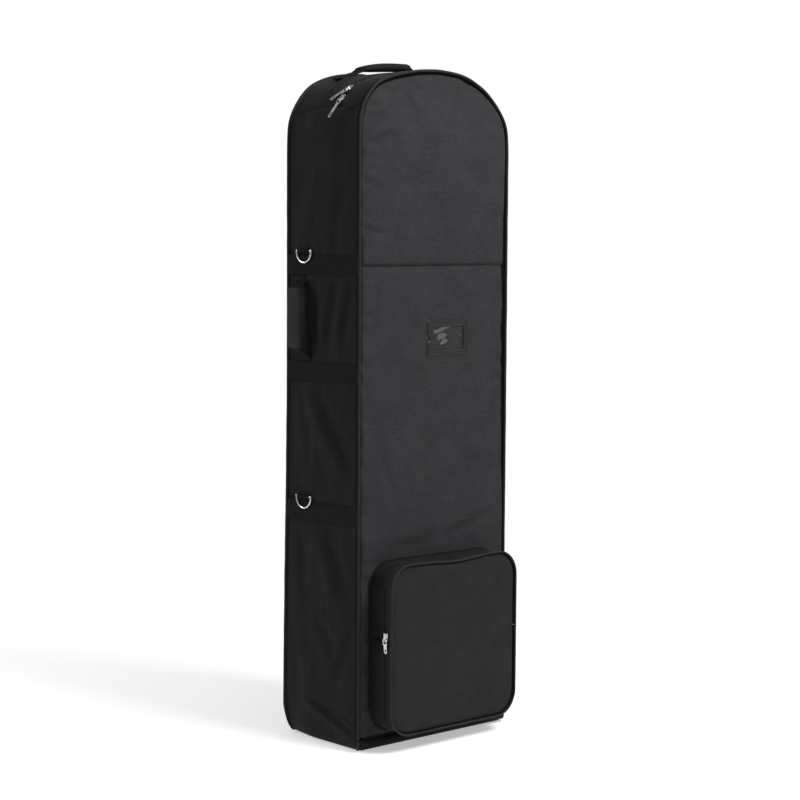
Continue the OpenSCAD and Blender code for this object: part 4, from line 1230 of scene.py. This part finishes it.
def side_handle():
    """Handle on the left side; its path is the height off the side against the distance from its middle."""
    a, b = lo("side_handle_webbing"), hi("side_handle_webbing")
    y, z = (a[1] + b[1]) / 2, (a[2] + b[2]) / 2
    half, foot = (b[2] - a[2]) / 2, (hi("side_handle_ends")[2] - lo("side_handle_ends")[2]) / 2
    width = (b[1] - a[1]) * 0.98
    ga, gb = lo("side_handle_grip"), hi("side_handle_grip")
    bow, gl = -HW - (ga[0] + gb[0]) / 2, (gb[2] - ga[2]) / 2
    up = curve([(foot - 0.001, 0.0017), (foot - 0.006, 0.0018), (foot - 0.011, 0.0050),
                (half + 0.001, 0.0165), (half - 0.004, 0.0235), (gl - 0.002, bow - 0.0006),
                (gl - 0.012, bow), (gl - 0.03, bow + 0.0008), (0, bow + 0.0012)])
    full = np.concatenate([up, (up * [-1, 1])[::-1][1:]])
    pts = xyz(-HW - full[:, 1], y, z + full[:, 0])
    free = np.abs(full[:, 0]) < half
    o = band("side_handle_web", pts[free], (-1, 0, 0), width, 0.0021, [M["web_up"]], 6)
    done(o, "side_handle", "webbing", "side_handle_webbing")
    for k, tag in ((1, "top"), (-1, "low")):
        end = pts[full[:, 0] * k > half - 0.002]
        o = band(f"side_handle_{tag}_end", end, (-1, 0, 0), width, 0.0023, [M["web_up"]], 6)
        bends(o, "webbing", ("case", "side_handle"), (-HW - 0.002, y, z + k * (foot - 0.004)),
              (-HW - 0.018, y, z + k * half), "side_handle_ends")
    zz = np.linspace(-1, 1, 31) * (gl - 0.001)
    x = -HW - np.interp(-np.abs(zz), -up[:, 0], up[:, 1])
    taper = 1 - 0.10 * np.abs(np.linspace(-1, 1, 31)) ** 10
    grip("side_handle_pad", "side_handle_grip", xyz(x, y, z + zz), (-1, 0, 0),
         (gb[1] - ga[1]) * 0.97 * taper, (gb[0] - ga[0]) * 0.80 * taper, "grip", "side_handle")


def top_handle():
    """Handle on the crown: low on the left, highest right of the middle."""
    a, b = lo("top_handle_webbing"), hi("top_handle_webbing")
    y, half = (a[1] + b[1]) / 2 + 0.003, (b[0] - a[0]) / 2
    width = (b[1] - a[1]) * 0.98
    ga, gb = lo("top_handle_grip"), hi("top_handle_grip")
    reach = hi("top_handle_ends")[0]
    gl = (gb[0] - ga[0]) / 2 - 0.0006
    thick = 0.0145
    peak, low = gb[2] - thick / 2, ga[2] + thick / 2 + 0.0002
    xs = np.linspace(-gl, gl, 33)
    zs = peak - (peak - low) * (np.clip(0.05 - xs, 0, 1) / (0.05 + gl)) ** 2
    zs -= 0.0010 * (1 - smooth(-gl, -gl + 0.045, xs))
    root = a[2] + 0.0012

    def crown(x):
        return float(top_z(np.array([x]), -0.0053)[0])

    flat = [(reach - 0.003 - k * 0.008, crown(reach - 0.003 - k * 0.008)) for k in range(5)]
    path = [(-x, zc) for x, zc in flat]
    path += [(-half - 0.010, crown(half + 0.010) + 0.0015), (-half - 0.003, root - 0.0022),
             (-gl - 0.001, zs[0] - 0.0008)]
    path += [(xs[k], zs[k]) for k in range(1, 32, 2)]
    path += [(gl + 0.0015, zs[-1] - 0.0008), (half, zs[-1] - 0.006), (half + 0.002, root),
             (half + 0.007, root - 0.0062), (half + 0.018, crown(half + 0.018) + 0.0008)]
    path = curve(path + flat[::-1], 3)
    pts = xyz(path[:, 0], y, path[:, 1])
    first = int(np.argmax(path[:, 0] > -half))
    last = len(path) - int(np.argmax((path[:, 1] > root)[::-1]))
    o = band("top_handle_web", pts[first:last], (0, 0, 1), width, 0.0021, [M["web_cross"]], 6)
    done(o, "top_handle", "webbing", "top_handle_webbing")
    rows = []
    for k, tag, end in ((-1, "left", pts[:first + 1]), (1, "right", pts[last - 1:])):
        o = band(f"top_handle_{tag}_end", end, (0, 0, 1), width, 0.0023, [M["web_cross"]], 6)
        for m in (-1, 1):
            seam = xyz(np.linspace(0.086, reach - 0.006, 16) * k, y + m * width * 0.4, 1.262)
            rows.append((snap(o, seam, (0, 0, 1)), (0, 0, 1)))
        bends(o, "webbing", ("case", "top_handle"), (k * (half + 0.022), y, root - 0.011),
              (k * half, y, root), "top_handle_ends")
    u = np.linspace(-1, 1, 33)
    taper = 1 - 0.10 * np.abs(u) ** 10
    thin = 0.66 + 0.34 * smooth(-1, -0.25, u)
    grip("top_handle_pad", "top_handle_grip", xyz(xs, y, zs), (0, 0, 1), (gb[1] - ga[1]) * 0.97 * taper,
         thick * 0.98 * taper * thin, "grip_dark", "top_handle")
    done(stitches("top_handle_end_stitches", rows, [M["thread"]]), "case", "webbing")


# ---------------------------------------------------------------- card holder

WINDOW_FOLDS = (
    ((-0.04, 0.004), (0.035, 0.026), 0.0022, 0.0011),
    ((-0.045, -0.012), (0.03, 0.012), 0.0018, 0.0009),
    ((-0.03, -0.020), (0.04, 0.002), 0.0022, 0.0010),
    ((0.005, -0.024), (0.042, -0.006), 0.0018, 0.0012),
    ((0.012, -0.004), (0.04, 0.014), 0.0016, 0.0009),
)


# the frame's section: share of the way across the bar, share of its depth
FRAME_SECTION = ((0, 0.0), (0.01, 0.6), (0.05, 1.0), (0.12, 1.06), (0.17, 0.8), (0.25, 0.78),
                 (0.30, 1.0), (0.55, 1.05), (0.76, 0.95), (0.80, 0.78), (0.86, 1.1), (0.93, 1.15),
                 (0.99, 0.8), (1.0, 0.2), (1.0, 0.0), (0.5, -0.6))


def thin_sheet(name, node, y, inset, amp, thick, mat, seed, creases=()):
    """Thin upright sheet inside a CAD node's outline."""
    a, b = lo(node), hi(node)
    x0, x1, z0, z1 = a[0] + inset, b[0] - inset, a[2] + inset, b[2] - inset
    u, v = np.meshgrid(np.linspace(x0, x1, 60), np.linspace(z0, z1, 42), indexing="ij")
    h = amp * grid_noise(u + v, u - v, 0.018, 0.05, seed)
    h += folds(u - (x0 + x1) / 2, v - (z0 + z1) / 2, creases, 0.14)
    o = sheet(name, xyz(u, y - h, v), xyz(u, y - h + thick, v), [M[mat]])
    done(o, "front_flap", node.replace("backing", "back"), node)


def card_frame():
    """Rounded bar section swept round the window, with a thumb notch at the left."""
    fa, fb = lo("card_frame"), hi("card_frame")
    a, b = lo("card_backing"), hi("card_backing")
    cx, cz = (a[0] + b[0]) / 2, (a[2] + b[2]) / 2
    hw, hh = (b[0] - a[0]) / 2, (b[2] - a[2]) / 2
    bar, corner, notch = 0.012, 0.004, 0.0065
    loop = []
    for sx, sz, q0 in ((1, -1, -90), (1, 1, 0), (-1, 1, 90), (-1, -1, 180)):
        x, z = (hw - corner) * sx, (hh - corner) * sz
        for g in np.radians(np.linspace(q0, q0 + 90, 7)):
            loop.append((x + corner * math.cos(g), z + corner * math.sin(g)))
    loop = np.array(loop)
    out = []
    for p, q in zip(loop, np.roll(loop, -1, 0)):
        n = max(1, int(np.hypot(*(q - p)) / 0.0025))
        out += [p + (q - p) * i / n for i in range(n)]
    out = np.array(out)
    inn = np.clip(out, (-hw + bar, -hh + bar), (hw - bar, hh - bar))
    cut = (out[:, 0] < -hw + 0.001) & (np.abs(out[:, 1]) < notch)
    out[cut, 0] = -hw + np.sqrt(notch ** 2 - out[cut, 1] ** 2)
    rings = []
    for p, q in zip(out, inn):
        ring = []
        for f, y in FRAME_SECTION:
            w = p + (q - p) * f
            ring.append((cx + w[0], fb[1] + (fa[1] - fb[1]) * y, cz + w[1]))
        rings.append(ring)
    done(loft("card_frame_rim", rings, [M["frame"]], closed=True), "front_flap", "card_frame", "card_frame")
    w, h = hw - 0.0026, hh - 0.0026
    t = np.linspace(0, 1, 20)
    lines = []
    for p, q in (((-w, -h), (w, -h)), ((w, -h), (w, h)), ((w, h), (-w, h)), ((-w, h), (-w, 0.009)),
                 ((-w, -0.009), (-w, -h))):
        row = xyz(cx + p[0] + (q[0] - p[0]) * t, fa[1] - 0.0001, cz + p[1] + (q[1] - p[1]) * t)
        lines.append((row, (0, -1, 0)))
    o = stitches("card_stitches", lines, [M["thread"]], 0.0032, (0.0024, 0.0007, 0.0004))
    done(o, "front_flap", "card_frame")


def card_holder():
    """Card holder on the front: back, clear window and frame."""
    y = lo("card_backing")[1] + 0.0002
    thin_sheet("card_back_sheet", "card_backing", y, 0, 0.0001, 0.0009, "card", 1.0)
    y = mid("card_window")[1]
    thin_sheet("card_window_sheet", "card_window", y, 0.001, 0.0003, 0.0004, "vinyl", 4.0, WINDOW_FOLDS)
    card_frame()


# ---------------------------------------------------------------- pocket

PKA, PKB = lo("pocket_gusset"), hi("pocket_gusset")
P_HW = PKB[0]
P_Z0, P_Z1 = PKA[2], PKB[2]
P_Y0 = PKB[1]
P_Y1 = lo("pocket_cover")[1]
P_RIM = hi("pocket_cover")[1]
P_WALL = PKA[1]
P_FOLD = lo("pocket_cover")[2]
P_R = 0.045
P_T = 0.004
# the pocket rim's section from the zip to the face: depth, distance inside the outline
PK_RIM = ((P_RIM, 0.0006), (P_RIM - 0.0012, -0.0006), (P_RIM - 0.0030, -0.0008),
          (P_Y1 + 0.0046, -0.0003), (P_Y1 + 0.0030, 0.0006), (P_Y1 + 0.0024, 0.0014),
          (P_Y1 + 0.0016, 0.0032))


def pk_outline(inset):
    """Rounded rectangle, anticlockwise from the left fold point, with outward directions."""
    r = P_R - inset
    hw, z0, z1 = P_HW - inset, P_Z0 + inset, P_Z1 - inset
    pts, nr = [], []

    def seg(p, q, nrm, k):
        for t in np.linspace(0, 1, k, endpoint=False):
            pts.append((p[0] + (q[0] - p[0]) * t, p[1] + (q[1] - p[1]) * t))
            nr.append(nrm)

    def arc(cx, cz, q0, k):
        for q in np.linspace(q0, q0 - 90, k, endpoint=False):
            g = math.radians(q)
            pts.append((cx + r * math.cos(g), cz + r * math.sin(g)))
            nr.append((math.cos(g), math.sin(g)))
    seg((-hw, z0 + r), (-hw, z1 - r), (-1, 0), 46)
    arc(-hw + r, z1 - r, 180, 16)
    seg((-hw + r, z1), (hw - r, z1), (0, 1), 48)
    arc(hw - r, z1 - r, 90, 16)
    seg((hw, z1 - r), (hw, z0 + r), (1, 0), 46)
    arc(hw - r, z0 + r, 0, 16)
    seg((hw - r, z0), (-hw + r, z0), (0, -1), 48)
    arc(-hw + r, z0 + r, -90, 16)
    return np.array(pts), np.array(nr)


def pk_soft(P):
    """The sag of the filled pocket."""
    P = np.array(P, float)
    x, y, z = P[..., 0], P[..., 1], P[..., 2]
    fwd = 1 - smooth(P_Y1, P_Y0, y)
    top = smooth(P_Z1 - 0.05, P_Z1, z)
    bot = 1 - smooth(P_Z0, P_Z0 + 0.06, z)
    out = P.copy()
    sag = 0.0046 * np.exp(-((x - 0.005) / 0.055) ** 2) - 0.0012 * np.exp(-((x - 0.10) / 0.04) ** 2)
    out[..., 2] = z - top * fwd * sag - bot * fwd * 0.0016
    out[..., 0] = x + (1 - fwd) * (-np.sign(x)) * 0.004 * bot
    return out


def tube_faces(rows, n, off=0):
    """Faces between stacked closed rings of n points."""
    faces = []
    for i in range(rows - 1):
        a, b = off + i * n, off + (i + 1) * n
        faces += [(a + j, a + (j + 1) % n, b + (j + 1) % n, b + j) for j in range(n)]
    return faces


def pk_face():
    """The pocket's front with its rim, from the rim's back edge in to the middle."""
    rows = []
    for y, ins in PK_RIM:
        p, nn = pk_outline(max(ins, 0))
        q = p + nn * -min(ins, 0)
        rows.append(xyz(q[:, 0], y, q[:, 1]))
    n = len(rows[0])
    cz, hh, deep = (P_Z0 + P_Z1) / 2, (P_Z1 - P_Z0) / 2, P_R - 0.0005
    for f in (0.006, 0.012, 0.020, 0.030, 0.042, 0.054, 0.066, 0.078, 0.09, 0.103, 0.116, 0.13, 0.143):
        p, _ = pk_outline(min(f, deep))
        if f > deep:
            sx, sz = (P_HW - f) / (P_HW - deep), (hh - f) / (hh - deep)
            p = np.stack([p[:, 0] * sx, cz + (p[:, 1] - cz) * sz], -1)
        h = 0.0055 * (1 - math.exp(-(f - 0.004) / 0.03)) - 0.0014 * math.exp(-((f - 0.0085) / 0.0022) ** 2)
        h += grid_noise(p[:, 0], p[:, 1], 0.06, 0.08, 21.0) * 0.0013
        h += grid_noise(p[:, 0], p[:, 1], 0.02, 0.03, 22.0) * 0.0005
        h += noise3(np.arange(n) / n * 40, 0.4, 0.2) * 0.0015 * math.exp(-f / 0.02)
        rows.append(xyz(p[:, 0], P_Y1 - h, p[:, 1]))
    middle = rows[-1].mean(0)
    for k in (0.5, 0.15, 0.01):
        rows.append(middle + (rows[-1] - middle) * [k, 1, k])
    inner = []
    for y, ins in ((P_RIM, P_T - 0.0004), (P_Y1 + P_T, P_T - 0.0004), (P_Y1 + P_T, 0.02)):
        p, _ = pk_outline(ins)
        inner.append(xyz(p[:, 0], y, p[:, 1]))
    nr = len(rows)
    ladder = [(j, j + 1, n - 2 - j, n - 1 - j) for j in range(n // 2 - 1)]
    faces = tube_faces(nr, n) + [tuple((nr - 1) * n + k for k in f) for f in ladder]
    face_count, base = len(faces), nr * n
    faces += tube_faces(3, n, base) + [tuple(base + 2 * n + k for k in f) for f in ladder]
    faces += [(j, (j + 1) % n, base + (j + 1) % n, base + j) for j in range(n)]
    index = [0] * face_count + [1] * (len(faces) - face_count)
    verts = pk_soft(np.array(rows + inner)).reshape(-1, 3)
    o = build("pocket_face_skin", verts, faces, [M["pocket"], M["lining"]], index)
    subdivide(o)
    bends(o, "panel_fabric", ("front_flap", "pocket_flap"), (0, P_Y1, P_FOLD - 0.006),
          (0, P_Y1, P_FOLD + 0.006), "pocket_cover", "pocket_front_lower")


def pk_wall(lower):
    """The wall round the pocket, and the band that closes its lower front, where there is no zip."""
    outer, inner = [], []
    p, nn = pk_outline(0)
    q, _ = pk_outline(P_T)
    n = len(p)
    for t in np.linspace(0, 1, 12):
        y = P_WALL + (P_Y0 - P_WALL) * t
        bow = math.sin(PI * t)
        dent = 0.0018 * bow * noise3(np.arange(n) / n * 34, t * 2, 7.7)
        w = p + nn * (0.0008 * bow + dent)[:, None]
        outer.append(xyz(w[:, 0], y, w[:, 1]))
        inner.append(xyz(q[:, 0], y, q[:, 1]))
    outer, inner = (pk_soft(np.transpose(np.array(g), (1, 0, 2))) for g in (outer, inner))
    o = sheet("pocket_wall_skin", outer, inner, [M["crown"], M["lining"]], 1, wrap=True)
    done(o, "front_flap", "gusset_fabric", "pocket_gusset")
    ys = np.linspace(P_RIM + 0.0002, P_WALL - 0.0002, 5)
    outer, inner = (pk_soft(xyz(g[lower, 0, None], ys, g[lower, 1, None])) for g in (p, q))
    o = sheet("pocket_lower_band", outer, inner, [M["crown"], M["lining"]], 1)
    done(o, "front_flap", "gusset_fabric")


def pk_zip(upper):
    """Both halves of the pocket's zip, above the fold."""
    y_zip = (P_RIM + P_WALL) / 2
    w = (P_WALL - P_RIM) / 2 - 0.0004
    p, nn = (g[upper] for g in pk_outline(0.0016))
    out = xyz(nn[:, 0], 0, nn[:, 1])
    for side, name, body in ((1, "wall", "front_flap"), (-1, "cover", "pocket_flap")):
        pts = pk_soft(xyz(p[:, 0], y_zip + side * (w / 2 + 0.0001), p[:, 1]))
        o = strip(f"pocket_{name}_tape", pts, out, (0, 1, 0), w, 0.001)
        done(o, body, "zip_tape", f"pocket_zip_tape_{name}")
        pts = pk_soft(xyz(p[:, 0] + nn[:, 0] * 0.0007, y_zip + side * 0.0010, p[:, 1] + nn[:, 1] * 0.0007))
        done(teeth(f"pocket_{name}_teeth", pts, out, 0.0028, (0.0020, 0.0018, 0.0008)), body, "zip_tape")


def pk_cords(upper, lower):
    """The cord round the pocket's front, in two parts that meet at the fold."""
    off = 0.00177
    loop, nn = pk_outline(0)
    q = loop + nn * off
    pts = pk_soft(xyz(q[:, 0], P_Y1 - off, q[:, 1]))
    for name, part, z_end, body, node in (
        ("pocket_cord_upper", upper, P_FOLD, "pocket_flap", "pocket_piping_cover"),
        ("pocket_cord_lower", lower, P_FOLD - 0.0004, "front_flap", "pocket_piping_lower"),
    ):
        line, out = pts[part], nn[part]
        ends = [[(g[0], g[1], z_end)] for g in (line[0], line[-1])]
        line = np.concatenate([ends[0], line, ends[1]])
        out = np.concatenate([out[:1], out, out[-1:]])
        # the pocket cord's allowance is near-black painted shade for its groove
        o = welt(name, line, xyz(out[:, 0], 0, out[:, 1]), (0, -1, 0), 0.0019, 0.0066)
        done(o, body, "piping", node)


def pk_base():
    """Seam allowance where the pocket's wall meets the panel."""
    rings = []
    for ins in (0.0015, -0.0008, -0.0034, -0.0056):
        p, nn = pk_outline(max(ins, 0))
        q = p + nn * -min(ins, 0)
        x, z = q[:, :1] * 0.9975, q[:, 1:]
        h = front_height(x, z, False)[:, 0] + (0.0007 if ins > -0.005 else -0.0003)
        rings.append(xyz(x[:, 0], YF - h, z[:, 0]))
    outer = np.transpose(np.array(rings), (1, 0, 2))
    o = sheet("pocket_base_flange", outer, outer + [0, 0.0014, 0], [M["crown"]], 1, wrap=True)
    done(o, "front_flap", "gusset_fabric")
    seam = outer[:, 2] + [0, -0.0003, 0]
    done(stitches("pocket_base_stitches", [(seam, (0, -1, 0))], [M["thread"]]), "front_flap",
         "gusset_fabric")


def pk_end_tabs():
    """Webbing tabs over the ends of the pocket's zip."""
    a, b = lo("pocket_zip_tabs"), hi("pocket_zip_tabs")
    parts = []
    for s in (-1, 1):
        y = np.linspace(a[1], b[1], 16)
        x = s * (P_HW + 0.0030 + 0.0007 * np.sin(np.linspace(0, 3 * PI, 16)))
        z = (a[2] + b[2]) / 2 - 0.002 * np.linspace(0, 1, 16)
        parts.append(band("tab", xyz(x, y, z), (s, 0, 0), b[2] - a[2], 0.0012, [M["web_side"]], 4))
    done(join_all(parts, "pocket_end_tabs"), "front_flap", "webbing", "pocket_zip_tabs")


def pocket():
    """The pocket's pieces, from the outline's points above the fold (upper) and below it (lower)."""
    heights = pk_outline(0)[0][:, 1]
    n = len(heights)
    upper = [i for i in range(n) if heights[i] > P_FOLD + 0.0008]
    low = [i for i in range(n) if heights[i] < P_FOLD - 0.001]
    split = next(i for i in range(len(low)) if low[(i + 1) % len(low)] != (low[i] + 1) % n)
    lower = low[split + 1:] + low[:split + 1]
    pk_face()
    pk_wall(lower)
    pk_zip(upper)
    pk_cords(upper, lower)
    pk_base()
    pk_end_tabs()


# ---------------------------------------------------------------- seams

def seams():
    """Stitches above the level seam of the front."""
    x = np.linspace(-HW + 0.008, HW - 0.008, 90)
    z = np.full_like(x, SEAM + 0.0048)
    h = front_height(x[:, None], z[:, None], True)[:, 0]
    rows = [(soft(xyz(x, YF - h - 0.0001, z)), (0, -1, 0))]
    done(stitches("front_seam_stitches", rows, [M["thread"]]), "front_flap", "panel_fabric")


# ---------------------------------------------------------------- inside

def inner_straps():
    """The two straps inside, with the loose part that leads to each buckle plug."""
    for n in ("upper", "lower"):
        node = f"inner_strap_{n}"
        a, b = lo(node), hi(node)
        sock, plug = hi("buckle_sockets")[0], lo(f"buckle_plug_{n}")[0]
        z, y = (a[2] + b[2]) / 2, (a[1] + b[1]) / 2
        w = b[2] - a[2]
        x = np.linspace(sock + 0.0004, b[0], 40)
        right = xyz(x, y - 0.004 * np.exp(-(x - sock) / 0.012), z)
        left = xyz(np.linspace(a[0], plug - 0.032, 30), y, z)
        parts = [band("w", line, (0, -1, 0), w, 0.0015, [M["web_in"]], 4) for line in (right, left)]
        done(join_all(parts, f"{node}_web"), "case", "webbing", node)
        x = np.linspace(plug - 0.0325, plug + 0.0015, 24)
        t = np.linspace(0, 1, 24)
        loop = xyz(x, y - 0.002 - 0.004 * smooth(0, 1, t) - 0.005 * np.sin(PI * t), z)
        o = band(f"{node}_loose", loop, (0, -1, 0), w, 0.0015, [M["web_in"]], 4)
        bends(o, "webbing", ("case", f"plug_{n}"), (plug - 0.031, y, z), (plug, y, z))


def crown_foam():
    """Foam under the crown as a soft slab."""
    a, b = lo("crown_pad"), hi("crown_pad")
    x, y = np.meshgrid(np.linspace(a[0], b[0], 24), np.linspace(a[1], b[1], 16), indexing="ij")
    e = np.minimum(np.minimum(x - a[0], b[0] - x), np.minimum(y - a[1], b[1] - y))
    r = R2 - T - 0.0006
    top = CZ + np.sqrt(r ** 2 - x ** 2) - 0.003 * np.exp(-e / 0.004)
    below = CZ + np.sqrt((r - 0.0138) ** 2 - x ** 2) + 0.003 * np.exp(-e / 0.004)
    done(sheet("crown_foam", xyz(x, y, top), xyz(x, y, below), [M["foam"]]), "case", "foam", "crown_pad")


# ---------------------------------------------------------------- build

front_panels()
left_skin()
crown_skins()
right_skins()
hinge_lining()
back_skin()
boot()
cords()
main_zip()
straps()
ring_tabs()
side_handle()
top_handle()
card_holder()
pocket()
seams()
inner_straps()
crown_foam()

paint("nickel", "zip_slider_upper", "zip_pull_upper", "zip_slider_lower", "zip_pull_lower",
      "pocket_slider", "pocket_pull")
paint("ring", "d_ring_upper", "d_ring_lower")
paint("housing", *HOUSINGS)
paint("steel", "wheel_axles", "housing_screws")
paint("rubber", "wheel_tyre_left", "wheel_tyre_right")
paint("hub", "wheel_hub_left", "wheel_hub_right")
paint("board", "base_board", "back_stiffener")
paint("acetal", "buckle_sockets", "buckle_plug_upper", "buckle_plug_lower")


# ---------------------------------------------------------------- studio

def floor():
    """White sweep: fades out into the white background away from the case."""
    n = Nodes("studio_floor")
    f = n.noise(3, 2.0)
    n.tint(f, (0.80, 0.80, 0.80), (0.82, 0.82, 0.82))
    n.set(Roughness=0.7, Specular_IOR_Level=0.1, Emission_Color=(1, 1, 1, 1), Emission_Strength=0.42)
    far = n.add("ShaderNodeVectorMath", operation="LENGTH")
    n.join(n.coords((1, 1, 1)), far.inputs[0])
    n.join(n.ramp(far.outputs["Value"], 0.5, 2.4, 1, 0), n.bsdf.inputs["Alpha"])
    ang = np.arange(64) * 2 * PI / 64
    o = build("floor", xyz(4 * np.cos(ang), 4 * np.sin(ang), 0 * ang - 0.0005), [range(64)], [n.m],
              fix=False)


def area(name, loc, target, size, energy):
    """Rectangular lamp at loc that faces target."""
    d = bpy.data.lights.new(name, "AREA")
    d.shape, d.size, d.size_y = "RECTANGLE", size[0], size[1]
    d.energy = energy
    o = bpy.data.objects.new(name, d)
    o.location = loc
    o.rotation_euler = (Vector(target) - Vector(loc)).to_track_quat("-Z", "Y").to_euler()
    bpy.context.scene.collection.objects.link(o)


def world():
    """White to the camera, softer as a light."""
    w = bpy.data.worlds.new("studio")
    bpy.context.scene.world = w
    w.use_nodes = True
    path = w.node_tree.nodes.new("ShaderNodeLightPath")
    level = w.node_tree.nodes.new("ShaderNodeMapRange")
    level.inputs["To Min"].default_value, level.inputs["To Max"].default_value = 0.38, 1.0
    sky = w.node_tree.nodes["Background"]
    sky.inputs["Color"].default_value = (1, 1, 1, 1)
    w.node_tree.links.new(path.outputs["Is Camera Ray"], level.inputs["Value"])
    w.node_tree.links.new(level.outputs["Result"], sky.inputs["Strength"])


LIGHTS = (  # name, place, target, size, watts
    ("key", (0.45, -1.85, 2.35), (0, 0, 1.0), (1.1, 1.1), 78),
    ("fill", (-2.3, 2.2, 1.7), (0, 0, 0.6), (0.8, 1.2), 42),
    ("over", (0.2, -0.4, 3.6), (0, 0, 0.6), (2.4, 2.4), 6),
)
# camera fitted to the outline of the case: turn from the front, downward tilt, roll (degrees), place, lens
YAW, PITCH, ROLL = 42.162, 4.829, 0.302
EYE = (-2.6184, -2.9025, 0.9729)
LENS, SENSOR = 91.15, 36


def studio():
    """Floor, lights and the camera of the photo."""
    bpy.context.scene.view_settings.view_transform = "Standard"
    floor()
    world()
    for light in LIGHTS:
        area(*light)
    cam = bpy.data.cameras.new("camera")
    cam.lens, cam.sensor_width = LENS, SENSOR
    cam.clip_start, cam.clip_end = 0.1, 100
    o = bpy.data.objects.new("camera", cam)
    yaw, pitch, roll = math.radians(YAW), math.radians(PITCH), math.radians(ROLL)
    ahead = Vector((math.sin(yaw) * math.cos(pitch), math.cos(yaw) * math.cos(pitch), -math.sin(pitch)))
    right = Vector((math.cos(yaw), -math.sin(yaw), 0))
    above = right.cross(ahead)
    axes = (right * math.cos(roll) + above * math.sin(roll),
            above * math.cos(roll) - right * math.sin(roll), -ahead)
    o.rotation_mode = "QUATERNION"
    o.rotation_quaternion = Matrix(axes).transposed().to_quaternion()
    o.location = EYE
    bpy.context.scene.collection.objects.link(o)
    bpy.context.scene.camera = o


studio()
